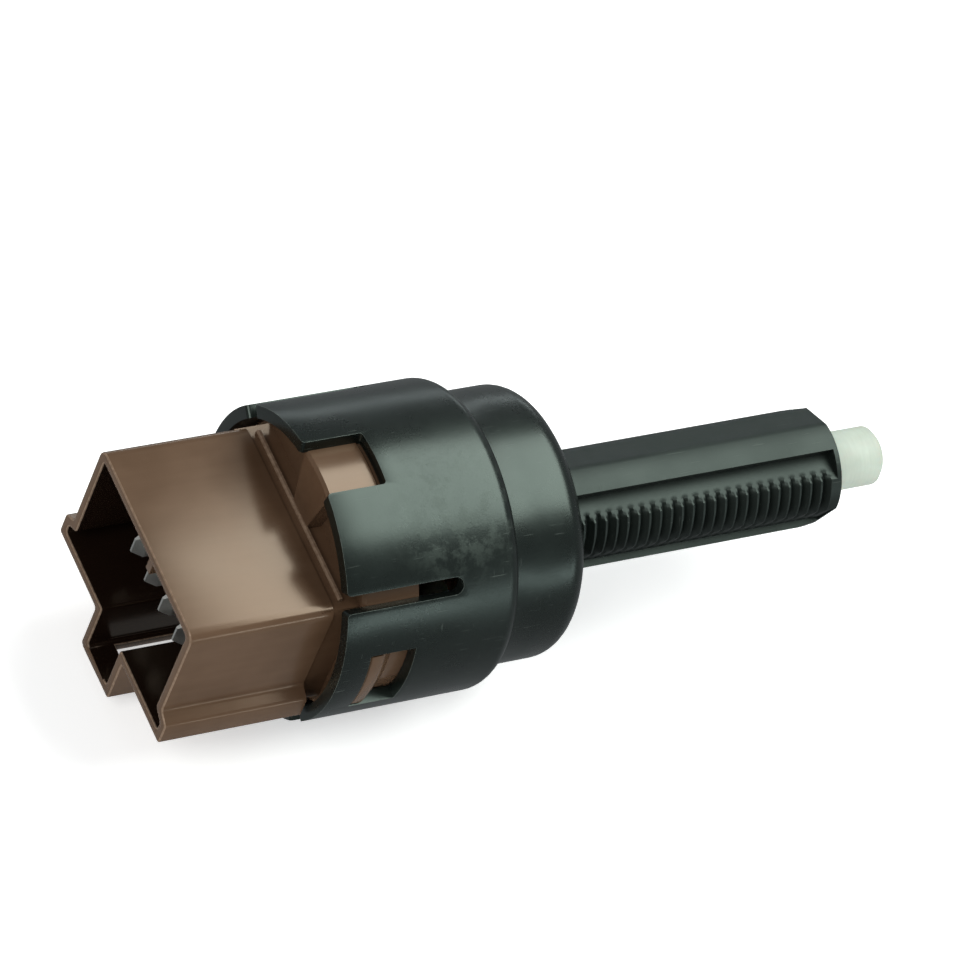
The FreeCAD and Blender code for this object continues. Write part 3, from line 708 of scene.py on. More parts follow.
@dataclass
class DrumAndStem:
    """Black one-piece drum and toothed stem."""

    radius: float = 13.0
    drum_length: float = 16.1
    shoulder_radius: float = 11.45
    shoulder_length: float = 7.2
    shoulder_round: float = 2.0
    root_fillet: float = 0.12
    wall: float = 1.1
    steps: int = 176
    notch_width: float = 5.2
    notch_depth: float = 5.35
    slit_width: float = 1.5
    slit_depth: float = 10.5
    slit_angle: float = 52.3
    window_width: float = 6.9
    window_span: tuple[float, float] = (2.5, 6.6)
    notch_corner: float = 0.3
    lip_corner: float = 0.35
    edge_round: float = 0.11
    stem_radius: float = 5.0
    stem_length: float = 28.1
    tooth_pitch: float = 1.047
    tooth_depth: float = 0.75
    tooth_crest: float = 0.16
    tooth_start: float = 0.9
    valley_half_width: float = 0.04
    stem_root: float = 0.4
    land_start: float = -62.5
    facet: tuple[float, float] = (-44.0, -8.0)
    land_end: float = 21.0
    flat_foot: float = 3.86
    crest_start: float = 50.0
    crest_end: float = 84.5
    lower_foot: float = 113.0
    lower_drop: float = 0.6
    end_rim: float = 0.5
    end_chamfer: float = 0.14
    taper_length: float = 2.9
    taper_drop: float = 0.5
    taper_angle: float = 110.0
    bore: float = 2.62
    bore_lead: float = 0.3
    finish: BlackNylon = field(default_factory=BlackNylon)

    def profile(self) -> Profile:
        """Outside of the drum from its rim to the stem."""
        round_radius = self.radius - self.shoulder_radius - self.root_fillet
        quarter = 0.5 * math.pi
        flat = self.shoulder_radius - self.shoulder_round - self.stem_radius + 0.3
        runs = (
            Run(self.drum_length - round_radius, 0.0, 4),
            Run(round_radius * quarter, 90.0, 12),
            Run(self.root_fillet * quarter, -90.0, 3),
            Run(self.shoulder_length - self.root_fillet - self.shoulder_round, 0.0, 2),
            Run(self.shoulder_round * quarter, 90.0, 9),
            Run(flat, 0.0, 2),
        )
        return Profile((RIM_X, self.radius), runs)

    def openings(self) -> list[tuple[float, float, float, float]]:
        """Cut-outs that are open at the rim, as centre, half width, depth and end radius."""
        slit = 0.5 * self.slit_width
        cuts = [(0.0, 0.5 * self.notch_width, self.notch_depth, self.notch_corner)]
        for side in (-1.0, 1.0):
            for angle in (self.slit_angle, 180.0 - self.slit_angle):
                place = side * math.radians(angle) * self.radius
                cuts.append((place, slit, self.slit_depth, 0.98 * slit))
        return sorted(cuts)

    def painted_highlight_bands(self) -> list[tuple[float, float, float]]:
        """Painted highlight strips along the front edges, as path start, path end and level of the
        pale edge colour.
        """
        round_radius = self.radius - self.shoulder_radius - self.root_fillet
        quarter = 0.5 * math.pi
        step = self.drum_length - round_radius + round_radius * quarter
        face = step + self.root_fillet * quarter + self.shoulder_length - self.root_fillet
        face += self.shoulder_round * (quarter - 1.0)
        return [(step - 0.2, step, 0.9), (face - 0.4, face, 0.35)]

    def flat_sheet(self, bench: Bench, length: float) -> None:
        """Makes the drum's skin as a flat sheet: X round the drum and Y along its profile.

        Args:
            bench: Bench of the piece.
            length: Length of the profile.
        """
        half = math.pi * self.radius
        points = [(-half, 0.0, 0.0)]
        for centre, wide, deep, _ in self.openings():
            points += [(centre - wide, 0.0, 0.0), (centre - wide, deep, 0.0),
                       (centre + wide, deep, 0.0), (centre + wide, 0.0, 0.0)]
        points += [(half, 0.0, 0.0), (half, length, 0.0), (-half, length, 0.0)]
        bench.plate(points)
        for centre, wide, deep, radius in self.openings():
            ends = [v for v in bench.mesh.verts
                    if abs(v.co.y - deep) < TOUCH and abs(abs(v.co.x - centre) - wide) < TOUCH]
            bench.round_corners(ends, radius)
            lips = [v for v in bench.mesh.verts
                    if abs(v.co.y) < TOUCH and abs(abs(v.co.x - centre) - wide) < TOUCH]
            bench.round_corners(lips, self.lip_corner, 3)

    def cut_windows(self, bench: Bench) -> None:
        """Cuts the snap windows out of the flat sheet.

        Args:
            bench: Bench of the piece.
        """
        wide = math.asin(0.5 * self.window_width / self.radius) * self.radius
        centre = 0.5 * math.pi * self.radius
        low, high = self.window_span
        for side in (-1.0, 1.0):
            for edge in (-wide, wide):
                bench.slice(Vector((side * centre + edge, 0.0, 0.0)), Vector((1.0, 0.0, 0.0)))
        for edge in (low, high):
            bench.slice(Vector((0.0, edge, 0.0)), Vector((0.0, 1.0, 0.0)))
        gone = []
        for face in bench.mesh.faces:
            middle = face.calc_center_median()
            if low < middle.y < high and abs(abs(middle.x) - centre) < wide:
                gone.append(face)
        bmesh.ops.delete(bench.mesh, geom=gone, context="FACES")

    def roll(self, bench: Bench, profile: Profile) -> None:
        """Rolls the thick sheet round the switch axis.

        Args:
            bench: Bench of the piece.
            profile: Profile that the sheet follows.
        """
        for vert in bench.mesh.verts:
            angle = vert.co.x / self.radius
            place, normal = profile.at(vert.co.y)
            x, reach = place + normal * vert.co.z
            vert.co = Vector((x, -reach * math.sin(angle), reach * math.cos(angle)))

    def build_drum(self, bench: Bench) -> None:
        """Builds the drum.

        Args:
            bench: Bench of the piece.
        """
        profile = self.profile()
        half = math.pi * self.radius
        self.flat_sheet(bench, profile.length())
        self.cut_windows(bench)
        for station in profile.stations():
            bench.slice(Vector((0.0, station, 0.0)), Vector((0.0, 1.0, 0.0)))
        for step in range(1, self.steps):
            across = -half + 2.0 * half * step / self.steps
            bench.slice(Vector((across, 0.0, 0.0)), Vector((1.0, 0.0, 0.0)))
        bench.thicken(bench.mesh.faces[:], Vector((0.0, 0.0, -self.wall)))
        seam = [face for face in bench.mesh.faces
                if all(abs(abs(vert.co.x) - half) < TOUCH for vert in face.verts)]
        bmesh.ops.delete(bench.mesh, geom=seam, context="FACES_ONLY")
        # Painted highlight: the strips at the drum's step and at the front face's edge get the pale
        # edge colour.
        for low, high, level in self.painted_highlight_bands():
            band = [face for face in bench.mesh.faces
                    if face.calc_center_median().z > -0.01
                    and low < face.calc_center_median().y < high]
            bench.paint(bench.wear_and_highlight, band, level)
        lips = []
        for edge in bench.mesh.edges:
            outside = all(vert.co.z > -TOUCH for vert in edge.verts)
            inland = min(vert.co.y for vert in edge.verts) < self.slit_depth + 1.0
            if outside and inland and len(edge.link_faces) == 2:
                if edge.calc_face_angle() > 1.0:
                    lips.append(edge)
        bench.soften(lips, self.edge_round, 3, 1.0)
        self.roll(bench, profile)
        bench.merge()

    def section(self) -> list[tuple[Vector, bool]]:
        """Half of the stem's section as points of Y and Z, with a mark on its toothed stretch."""

        def polar(radius: float, angle: float) -> Vector:
            """Point of the section at an angle from the top."""
            turn = math.radians(angle)
            return Vector((-radius * math.sin(turn), radius * math.cos(turn)))

        def arc(start: float, end: float, count: int) -> list[Vector]:
            """Points along a stretch of the stem's outer circle."""
            span = end - start
            return [polar(self.stem_radius, start + span * k / count) for k in range(count + 1)]

        def line(start: Vector, end: Vector, count: int) -> list[Vector]:
            """Points along a flat, without its last one."""
            return [start.lerp(end, k / count) for k in range(count)]

        root = self.stem_radius - self.lower_drop
        crest = arc(self.crest_start, self.crest_end, 14)
        flat = line(polar(self.flat_foot, self.land_end), crest[0], 14)
        lower_end = polar(root, self.lower_foot)
        lower = line(crest[-1], lower_end, 12)[1:]
        foot = [lower_end, polar(root, self.land_start + 180.0)]
        facet_start, facet_end = self.facet
        land = arc(self.land_start, facet_start, 5)
        land += line(land[-1], polar(self.stem_radius, facet_end), 8)[1:]
        land += arc(facet_end, self.land_end, 9)
        toothed = flat + crest + lower + foot
        return [(point, False) for point in land] + [(point, True) for point in toothed]

    def grooves(self) -> int:
        """Number of grooves along the stem."""
        return int((self.stem_length - self.end_rim - self.tooth_start) / self.tooth_pitch)

    def groove_reach(self, x: float) -> float:
        """Largest radius that the grooves leave at a station.

        Args:
            x: Station along the stem.

        Returns:
            The radius in millimetres.
        """
        along = (x - self.tooth_start) / self.tooth_pitch
        if not 0.0 <= along <= self.grooves():
            return self.stem_radius
        half = 0.5 * (self.tooth_pitch - self.tooth_crest)
        off = abs(along - math.floor(along) - 0.5) * self.tooth_pitch
        return self.stem_radius - self.tooth_depth * max(0.0, 1.0 - off / half)

    def stem_stations(self) -> list[float]:
        """Stations along the stem where its skin needs a ring."""
        half = 0.5 * (self.tooth_pitch - self.tooth_crest)
        places = [-self.stem_root, 0.5 * self.tooth_start]
        for k in range(self.grooves()):
            middle = self.tooth_start + (k + 0.5) * self.tooth_pitch
            valley = self.valley_half_width
            places += [middle - half, middle - 0.5 * half, middle - valley, middle + valley,
                       middle + 0.5 * half, middle + half]
        rim = self.stem_length - self.end_rim
        places = [place for place in places if place < rim - 0.1]
        chamfer = self.stem_length - self.end_chamfer
        return places + [rim - 0.001, rim, chamfer, self.stem_length]

    def taper(self, x: float, angle: float) -> float:
        """Largest radius that the bevelled lead-in leaves at the stem's tip.

        Args:
            x: Station along the stem.
            angle: Angle from the top, in degrees, from nought to 180.

        Returns:
            The radius in millimetres.
        """
        along = (x - self.stem_length + self.taper_length) / self.taper_length
        lean = math.cos(math.radians(angle - self.taper_angle))
        if along <= 0.0 or lean < 0.5:
            return self.stem_radius
        return (self.stem_radius - self.taper_drop * along) / lean

    def build_stem(self, bench: Bench) -> None:
        """Builds the toothed stem.

        Args:
            bench: Bench of the piece.
        """
        half = self.section()
        points = half + [(-point, toothed) for point, toothed in half]
        mark = bench.mesh.verts.layers.int.new("section")
        stations = self.stem_stations()
        edges = bench.ring([(stations[0], point.x, point.y) for point, _ in points])
        first = list(edges)
        for number, edge in enumerate(edges):
            shared = set(edge.verts) & set(edges[number - 1].verts)
            shared.pop()[mark] = number

        def carry(x: float, reach: Callable[[Vector, bool], Vector]) -> None:
            """Adds one ring of skin and shapes it.

            Args:
                x: Station of the new ring.
                reach: Rule that gives each point's new place in the section.
            """
            nonlocal edges
            made = bmesh.ops.extrude_edge_only(bench.mesh, edges=edges)["geom"]
            edges = [item for item in made if isinstance(item, bmesh.types.BMEdge)]
            for item in made:
                if isinstance(item, bmesh.types.BMVert):
                    point, toothed = points[item[mark]]
                    place = reach(point, toothed)
                    item.co = Vector((x, place.x, place.y))

        for x in stations[1:]:
            limit = self.groove_reach(x)
            trim = self.end_chamfer if x == self.stem_length else 0.0
            sunk = x < self.stem_length - self.end_rim

            def reach(point: Vector, toothed: bool) -> Vector:
                """Keeps a point inside the grooves, the taper and the end chamfer."""
                angle = math.degrees(math.atan2(-point.x, point.y)) % 180.0
                radius = point.length
                if toothed:
                    radius = min(radius, limit) if sunk else self.stem_radius
                return point.normalized() * (min(radius, self.taper(x, angle)) - trim)

            carry(x, reach)
        lead = self.bore_lead
        carry(self.stem_length, lambda point, _: point.normalized() * (self.bore + lead))
        carry(self.stem_length - lead, lambda point, _: point.normalized() * self.bore)
        carry(stations[0], lambda point, _: point.normalized() * self.bore)
        bmesh.ops.bridge_loops(bench.mesh, edges=[*first, *edges])

    def build(self) -> bpy.types.Object:
        """Builds and dresses the piece."""
        bench = Bench()
        self.build_drum(bench)
        drum = set(bench.mesh.faces)
        self.build_stem(bench)
        bench.paint(bench.dull, set(bench.mesh.faces) - drum, 1.0)
        bench.merge(0.001)
        return bench.finish("drum_and_stem", self.finish, Body.SWITCH, Slot.HOUSING, ["housing"])


@dataclass
class SocketBase:
    """Brown plug socket with its flange, key, snap lugs and lock window."""

    half_width: float = 9.65
    top: float = 6.4
    bottom: float = -6.3
    ledge_half_width: float = 10.85
    ledge_top: float = -3.4
    ledge_slope: float = 0.6
    key_half_width: float = 2.9
    key_bottom: float = -11.1
    wall: float = 0.85
    corner: float = 1.0
    inner_corner: float = 0.35
    small_corner: float = 0.3
    back_gap: float = 0.35
    floor_depth: float = -1.2
    ridge_depth: float = 0.6
    flange_radius: float = 11.85
    flange_depth: float = 2.0
    inner_depth: float = 3.8
    skirt_radius: float = 10.2
    seat_depth: float = 7.0
    post_radius: float = 1.25
    post_length: float = 2.2
    notch_key_half: float = 2.45
    notch_key_radius: float = 12.0
    notch_key_end: float = 5.15
    lug_half: float = 3.2
    lug_radius: float = 12.9
    lug_start: float = 2.62
    lug_flat: float = 1.0
    lug_length: float = 2.4
    window_half: float = 1.5
    window_setback: float = 2.3
    window_length: float = 7.4
    rib_centre: float = -1.2
    rib_width: float = 0.7
    rib_height: float = 1.5
    finish: BrownMoulding = field(default_factory=BrownMoulding)

    def outline(self, inset: float, ledges: bool = True) -> list[tuple[float, float]]:
        """Section of the socket as points of Y and Z.

        Args:
            inset: How far the section is shrunk inwards.
            ledges: Whether the side ledges are part of it.

        Returns:
            The points in order.
        """
        side = self.half_width - inset
        ledge = self.ledge_half_width - inset
        shelf = self.ledge_top - self.ledge_slope * inset
        key = self.key_half_width - inset
        low = self.bottom + inset
        right = [(side, self.top - inset)]
        if ledges:
            right += [(side, shelf), (ledge, shelf - self.ledge_slope), (ledge, low)]
        else:
            right += [(side, low)]
        right += [(key, low), (key, self.key_bottom + inset)]
        return right + [(-y, z) for y, z in reversed(right)]

    def mouth_loop(self, bench: Bench, inset: float, corner: float) -> list[bmesh.types.BMEdge]:
        """Draws the section at the mouth with rounded corners.

        Args:
            bench: Bench of the piece.
            inset: How far the section is shrunk inwards.
            corner: Radius of the two broad corners.

        Returns:
            The section's edges.
        """
        face = bench.plate([(MOUTH_X, y, z) for y, z in self.outline(inset)])
        broad = [v for v in face.verts if abs(v.co.z - self.top + inset) < TOUCH]
        narrow = [v for v in face.verts if v not in broad]
        bench.round_corners(broad, corner)
        bench.round_corners(narrow, self.small_corner, 4)
        face = [f for f in bench.mesh.faces if len(f.verts) > 12][0]
        edges = list(face.edges)
        bmesh.ops.delete(bench.mesh, geom=[face], context="FACES_ONLY")
        return edges

    def draw_walls(self, bench: Bench, edges: list[bmesh.types.BMEdge], length: float) -> None:
        """Draws walls from a section along the axis and closes their far end.

        Args:
            bench: Bench of the piece.
            edges: Edges of the section.
            length: Length of the walls.
        """
        made = bmesh.ops.extrude_edge_only(bench.mesh, edges=edges)["geom"]
        verts = [item for item in made if isinstance(item, bmesh.types.BMVert)]
        ends = [item for item in made if isinstance(item, bmesh.types.BMEdge)]
        bmesh.ops.translate(bench.mesh, verts=verts, vec=Vector((length, 0.0, 0.0)))
        bmesh.ops.contextual_create(bench.mesh, geom=ends)

    def build_shroud(self, bench: Bench) -> None:
        """Builds the open socket.

        Args:
            bench: Bench of the piece.
        """
        outer = self.mouth_loop(bench, 0.0, self.corner)
        inner = self.mouth_loop(bench, self.wall, self.inner_corner)
        bmesh.ops.bridge_loops(bench.mesh, edges=[*outer, *inner])
        self.draw_walls(bench, outer, RIM_X - self.back_gap - MOUTH_X)
        walls = set(bench.mesh.faces)
        self.draw_walls(bench, inner, RIM_X + self.floor_depth - MOUTH_X)
        # Painted shade: the inner walls and floor are marked dull, which darkens them almost to
        # black in the brown finish.
        bench.paint(bench.dull, set(bench.mesh.faces) - walls, 1.0)
        bmesh.ops.recalc_face_normals(bench.mesh, faces=bench.mesh.faces[:])
        self.cut_lock_window(bench)
        bench.mesh.normal_update()
        bench.soften([*outer, *inner], 0.12, 3, 1.0)

    def cut_lock_window(self, bench: Bench) -> None:
        """Cuts the lock window through the keyway's outer wall.

        Args:
            bench: Bench of the piece.
        """
        start = MOUTH_X + self.window_setback
        end = start + self.window_length

        def skins() -> list[bmesh.types.BMFace]:
            """Outer and inner face of the keyway's wall."""
            low = self.key_bottom + self.wall + 0.01
            return [f for f in bench.mesh.faces
                    if abs(f.normal.z) > 0.9 and f.calc_center_median().z < low]

        bench.mesh.normal_update()
        for side in (-self.window_half, self.window_half):
            bench.slice(Vector((0.0, side, 0.0)), Vector((0.0, 1.0, 0.0)), skins())
        for place in (start, end):
            bench.slice(Vector((place, 0.0, 0.0)), AXIS, skins())
        bench.mesh.normal_update()
        gone = []
        for face in skins():
            middle = face.calc_center_median()
            if start < middle.x < end and abs(middle.y) < self.window_half:
                gone.append(face)
        loops = [edge for face in gone for edge in face.edges]
        bmesh.ops.delete(bench.mesh, geom=gone, context="FACES_ONLY")
        made = bmesh.ops.bridge_loops(bench.mesh, edges=loops)
        sills = {e for f in made["faces"] for e in f.edges if e.calc_face_angle(0.0) > 1.2}
        upright = {e for e in sills if abs(e.verts[0].co.z - e.verts[1].co.z) > 0.3}
        bench.soften(list(sills - upright), 0.09, 2, 0.8)

    def build_flange(self, bench: Bench) -> None:
        """Builds the flange, its skirt and the neck between socket and flange.

        Args:
            bench: Bench of the piece.
        """
        front = RIM_X + self.flange_depth
        inner = RIM_X + self.inner_depth
        seat = RIM_X + self.seat_depth
        outer = self.flange_radius
        post = inner + self.post_length
        bench.turn([(front, 0.0), (front, outer - 0.3), (front + 0.3, outer), (seat, outer),
                    (seat, self.skirt_radius), (inner, self.skirt_radius),
                    (inner, self.post_radius), (post - 0.2, self.post_radius),
                    (post, self.post_radius - 0.2), (post, 0.0)], 120)
        neck = bench.plate([(RIM_X - self.back_gap - 1.0, 0.97 * y, 0.97 * z)
                            for y, z in self.outline(0.0, False)])
        bench.thicken([neck], Vector((self.flange_depth + self.back_gap + 1.3, 0.0, 0.0)))

    def build_key(self, bench: Bench) -> None:
        """Builds the raised key that fills the drum's notch, and the ridge beside it.

        Args:
            bench: Bench of the piece.
        """
        half = math.degrees(math.asin(self.notch_key_half / self.notch_key_radius))
        near = RIM_X + self.ridge_depth - 0.1
        far = RIM_X + self.notch_key_end
        tall = self.notch_key_radius
        bench.turn([(near, self.top - 1.0), (near, tall - 0.25), (near + 0.25, tall),
                    (far - 0.15, tall), (far, tall - 0.15), (far, self.top - 1.0)],
                   14, -half, 2.0 * half)
        side = self.half_width - self.corner
        start = RIM_X + self.ridge_depth
        strip = bench.plate([(start - 0.35, -side, self.top - 0.3), (start, -side, self.top - 0.3),
                             (start, -side, self.top + 0.25), (start - 0.2, -side, self.top + 0.25),
                             (start - 0.35, -side, self.top + 0.05)])
        before = set(bench.mesh.faces)
        bench.thicken([strip], Vector((0.0, 2.0 * side, 0.0)))
        # Painted highlight: the ridge's top gets the full pale edge colour.
        crest = [face for face in set(bench.mesh.faces) - before
                 if face.calc_center_median().z > self.top + 0.1]
        bench.paint(bench.wear_and_highlight, crest, 1.0)

    def build_lugs(self, bench: Bench) -> None:
        """Builds the two ramped snap lugs.

        Args:
            bench: Bench of the piece.
        """
        half = math.degrees(math.asin(self.lug_half / self.lug_radius))
        start = RIM_X + self.lug_start
        base = self.flange_radius - 0.6
        end = start + self.lug_length
        for side in (90.0, -90.0):
            bench.turn([(start, base), (start, self.lug_radius - 0.12),
                        (start + 0.12, self.lug_radius), (start + self.lug_flat, self.lug_radius),
                        (end, self.flange_radius), (end, base)], 16, side - half, 2.0 * half)

    def build_rib(self, bench: Bench) -> None:
        """Builds the polarising rib inside the socket.

        Args:
            bench: Bench of the piece.
        """
        roof = self.top - self.wall
        foot = roof - self.rib_height
        near = self.rib_centre - 0.5 * self.rib_width
        far = self.rib_centre + 0.5 * self.rib_width
        start = MOUTH_X + 0.15
        rib = bench.plate([(start, near, roof + 0.2), (start, far, roof + 0.2),
                           (start, far, foot), (start, near, foot)])
        bench.thicken([rib], Vector((RIM_X + self.floor_depth - start, 0.0, 0.0)))
        edges = [e for e in bench.mesh.edges
                 if all(abs(v.co.z - foot) < TOUCH and v.co.x > start - TOUCH
                        and near - TOUCH < v.co.y < far + TOUCH for v in e.verts)]
        bench.soften(edges, 0.12, 2, 0.5)

    def build(self) -> bpy.types.Object:
        """Builds and dresses the piece."""
        bench = Bench()
        self.build_shroud(bench)
        self.build_flange(bench)
        self.build_key(bench)
        self.build_lugs(bench)
        self.build_rib(bench)
        return bench.finish("socket_base", self.finish, Body.SWITCH, Slot.BASE,
                            ["connector_base"])


@dataclass
class PushRod:
    """Pale push rod with its collar and spigot."""

    radius: float = 2.54
    tip_x: float = 34.05
    tip_chamfer: float = 0.45
    collar_radius: float = 3.9
    collar_front: float = -2.05
    collar_length: float = 1.35
    spigot_radius: float = 1.6
    spigot_length: float = 3.5
    steps: int = 72
    finish: PaleAcetal = field(default_factory=PaleAcetal)

    def build(self) -> bpy.types.Object:
        """Builds and dresses the piece."""
        bench = Bench()
        collar = self.collar_front - self.collar_length
        foot = collar - self.spigot_length
        tip = self.tip_x
        cut = self.tip_chamfer
        bench.turn([(foot, 0.0), (foot, self.spigot_radius - 0.2), (foot + 0.2, self.spigot_radius),
                    (collar, self.spigot_radius), (collar, self.collar_radius),
                    (self.collar_front, self.collar_radius), (self.collar_front, self.radius),
                    (tip - cut - 0.12, self.radius), (tip - cut, self.radius - 0.04),
                    (tip - 0.1, self.radius - cut + 0.02), (tip, self.radius - cut - 0.1),
                    (tip, 0.7), (tip - 0.08, 0.55), (tip - 0.08, 0.0)], self.steps)
        bench.merge()
        return bench.finish("push_rod", self.finish, Body.PLUNGER, Slot.PLUNGER, ["plunger"], 30.0)


class CarriedPieces:
    """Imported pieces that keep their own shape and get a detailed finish."""

    def __init__(self) -> None:
        """Chooses a finish for each family of pieces."""
        tin = BrightMetal("tinned_terminal", (0.86, 0.87, 0.84), (0.66, 0.66, 0.62), 0.42)
        silver = BrightMetal("silver_contact", (0.86, 0.85, 0.82), (0.62, 0.58, 0.5), 0.22,
                             (1.0, 0.2, 0.2))
        copper = BrightMetal("copper_bridge", (0.8, 0.52, 0.36), (0.5, 0.3, 0.2), 0.28,
                             (1.0, 0.08, 1.0))
        self.families = (
            ("carrier", PaleAcetal("carrier_acetal")),
            ("terminal", tin),
            ("contact_", silver),
            ("bridge", copper),
        )

    def dress(self, nodes: dict[str, bpy.types.Object], shown_by_piece: set[str]) -> None:
        """Gives each carried node its finish.

        Args:
            nodes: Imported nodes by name.
            shown_by_piece: Names of nodes that a new piece stands for.
        """
        made: dict[str, bpy.types.Material] = {}
        for name in sorted(set(nodes) - shown_by_piece):
            for word, finish in self.families:
                if word in name:
                    if word not in made:
                        made[word] = finish.make()
                    nodes[name].data.materials.clear()
                    nodes[name].data.materials.append(made[word])
                    LOG.info("%s: %s", name, finish.name)
                    break


@dataclass
class Spring:
    """Round-wire compression spring with closed end turns along the switch axis."""

    name: str
    node: str
    body: Body
    joint: str
    start_x: float
    end_x: float
    radius: float
    wire: float
    turns: float
    height: float = 0.0
    travel: float = 0.0
    anchor_at_end: bool = False
    end_pitch: float = 2.15
    sides: int = 10
    steps: int = 28
    finish: BrightMetal = field(default_factory=lambda: BrightMetal(
        "spring_steel", (0.6, 0.6, 0.61), (0.36, 0.36, 0.37), 0.3, (1.0, 1.0, 1.0)))

    def wind(self, bench: Bench, edges: list[bmesh.types.BMEdge], turns: float,
             rise: float) -> list[bmesh.types.BMEdge]:
        """Winds the wire's end loop on.

        Args:
            bench: Bench of the piece.
            edges: Loop of edges at the wire's end.
            turns: Turns to wind.
            rise: Way along the axis over those turns.

        Returns:
            The loop at the new end.
        """
        count = round(turns * self.steps)
        verts = list({vert for edge in edges for vert in edge.verts})
        made = bmesh.ops.spin(bench.mesh, geom=[*verts, *edges], cent=CENTRE, axis=AXIS,
                              dvec=Vector((rise / count, 0.0, 0.0)),
                              angle=2.0 * math.pi * turns, steps=count)
        return [item for item in made["geom_last"] if isinstance(item, bmesh.types.BMEdge)]

    def build(self) -> bpy.types.Object:
        """Builds and dresses the piece."""
        bench = Bench()
        close = self.end_pitch * self.wire
        length = self.end_x - self.start_x - 2.0 * (self.wire + close)
        bmesh.ops.create_circle(bench.mesh, cap_ends=True, segments=self.sides, radius=self.wire,
                                matrix=Matrix.Translation((self.start_x + self.wire, 0.0,
                                                           self.radius))
                                @ Matrix.Rotation(math.radians(90.0), 4, "X"))
        edges = bench.mesh.edges[:]
        edges = self.wind(bench, edges, 1.0, close)
        edges = self.wind(bench, edges, self.turns, length)
        edges = self.wind(bench, edges, 1.0, close)
        bmesh.ops.contextual_create(bench.mesh, geom=edges)
        bmesh.ops.translate(bench.mesh, verts=bench.mesh.verts[:],
                            vec=Vector((0.0, 0.0, self.height)))
        piece = bench.finish(self.name, self.finish, self.body, Slot.SPRING, [self.node])
        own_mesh(piece)
        return piece


@dataclass(frozen=True)
class Softbox:
    """Soft area light: place and size in metres, power in watts."""

    name: str
    place: tuple[float, float, float]
    size: tuple[float, float]
    power: float
    colour: Colour

    def light(self) -> None:
        """Hangs the light so that it faces the switch."""
        data = bpy.data.lights.new(self.name, "AREA")
        data.shape = "RECTANGLE"
        data.size, data.size_y = self.size
        data.energy = self.power
        data.color = self.colour
        lamp = bpy.data.objects.new(self.name, data)
        lamp.location = self.place
        way = -Vector(self.place)
        lamp.rotation_euler = way.to_track_quat("-Z", "Y").to_euler()
        bpy.context.scene.collection.objects.link(lamp)


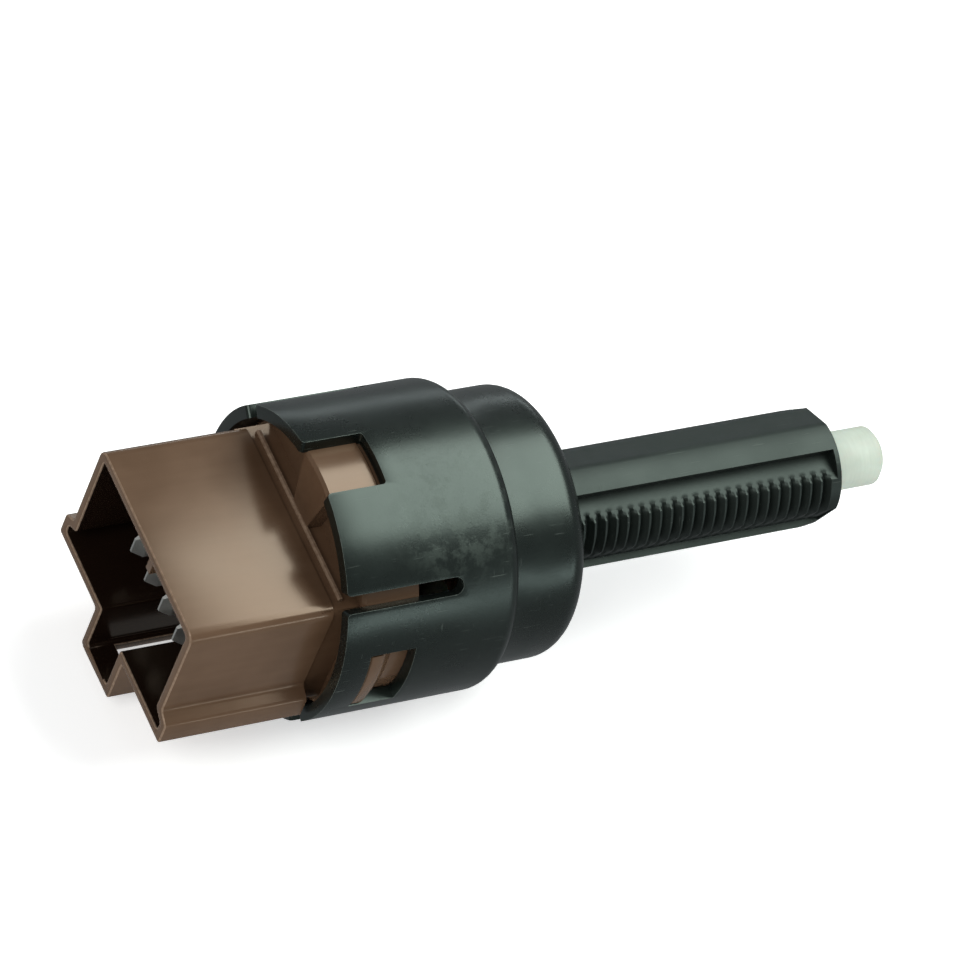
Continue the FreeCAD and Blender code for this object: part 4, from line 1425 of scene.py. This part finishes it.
@dataclass
class Studio:
    """Camera, soft lights and a plain pale floor."""

    eye: tuple[float, float, float] = (-238.1, -241.1, 380.1)
    right: tuple[float, float, float] = (0.8728, -0.3947, 0.287)
    up: tuple[float, float, float] = (0.1559, 0.7828, 0.6024)
    lens: float = 230.87
    sensor: float = 36.0
    clip: tuple[float, float] = (0.01, 20.0)
    floor_size: float = 6.0
    room: Colour = (0.92, 0.97, 1.0)
    room_strength: float = 0.25
    lights: tuple[Softbox, ...] = (
        Softbox("overhead_softbox", (0.36, 0.03, 0.6), (0.78, 0.45), 5.8, (0.96, 1.0, 0.97)),
        Softbox("left_softbox", (-0.5, -0.2, 0.5), (0.4, 0.4), 2.4, (1.0, 0.99, 0.97)),
        Softbox("rear_strip", (0.4, 0.77, 0.02), (0.6, 0.06), 0.35, (0.9, 0.97, 1.0)),
        Softbox("front_strip", (0.4, -0.78, 0.04), (0.6, 0.08), 0.8, (0.9, 0.98, 1.0)),
    )

    def camera(self) -> None:
        """Puts the camera at the portrait's angle."""
        data = bpy.data.cameras.new("portrait_camera")
        data.lens = self.lens
        data.sensor_width = self.sensor
        data.clip_start, data.clip_end = self.clip
        eye = bpy.data.objects.new("portrait_camera", data)
        right = Vector(self.right).normalized()
        up = Vector(self.up)
        up = (up - right * up.dot(right)).normalized()
        back = right.cross(up)
        turn = Matrix((right, up, back)).transposed().to_4x4()
        eye.matrix_world = Matrix.Translation(Vector(self.eye) * MM) @ turn
        bpy.context.scene.collection.objects.link(eye)
        bpy.context.scene.camera = eye

    def floor(self, height: float) -> None:
        """Lays the floor under the switch.

        Args:
            height: Height of the floor in metres.
        """
        mesh = bmesh.new()
        bmesh.ops.create_grid(mesh, x_segments=2, y_segments=2, size=0.5 * self.floor_size)
        bmesh.ops.translate(mesh, verts=mesh.verts[:], vec=Vector((0.0, 0.0, height)))
        data = bpy.data.meshes.new("floor")
        mesh.to_mesh(data)
        mesh.free()
        data.materials.append(PaleFloor().make())
        floor = bpy.data.objects.new("floor", data)
        floor.visible_glossy = False
        bpy.context.scene.collection.objects.link(floor)
        floor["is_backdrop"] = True

    def world(self) -> None:
        """Sets an even, dim surround."""
        world = bpy.data.worlds.new("soft_room")
        world.use_nodes = True
        back = world.node_tree.nodes["Background"]
        back.inputs[0].default_value = (*self.room, 1.0)
        back.inputs[1].default_value = self.room_strength
        bpy.context.scene.world = world

    def build(self, floor_height: float) -> None:
        """Builds the whole studio.

        Args:
            floor_height: Height of the floor in metres.
        """
        self.camera()
        self.world()
        self.floor(floor_height)
        for box in self.lights:
            box.light()
        bpy.context.scene.view_settings.view_transform = "Standard"


def corners(box: tuple[Vector, Vector]) -> list[list[float]]:
    """Lowest and highest corner as plain lists."""
    return [list(corner) for corner in box]


def main(frame: dict[str, object]) -> None:
    """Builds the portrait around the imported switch.
    """
    logging.basicConfig(level=logging.INFO, format="%(message)s")
    nodes = frame["nodes"]
    packed = corners(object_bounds())
    springs = (
        Spring("return_coil", "return_spring", Body.SWITCH, "plunger_slide", -19.48, -7.72,
               1.9, 0.22, 7.0, travel=4.5),
        Spring("stop_coil", "stop_bridge_spring", Body.PLUNGER, "stop_bridge_float", -10.38,
               -5.95, 0.95, 0.14, 4.0, height=-4.7, travel=0.6),
        Spring("cruise_coil", "cruise_bridge_spring", Body.PLUNGER, "cruise_bridge_float",
               -12.15, -8.12, 0.95, 0.14, 4.0, height=4.7, travel=0.6, anchor_at_end=True),
    )
    shown_by_piece = {"housing", "connector_base", "plunger"} | {coil.node for coil in springs}
    CarriedPieces().dress(nodes, shown_by_piece)
    for maker in (DrumAndStem(), SocketBase(), PushRod(), *springs):
        piece = maker.build()
        LOG.info("built %s", piece.name)
    Studio().build(packed[0][2])


if __name__ == "__main__":
    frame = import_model()
    main(frame)
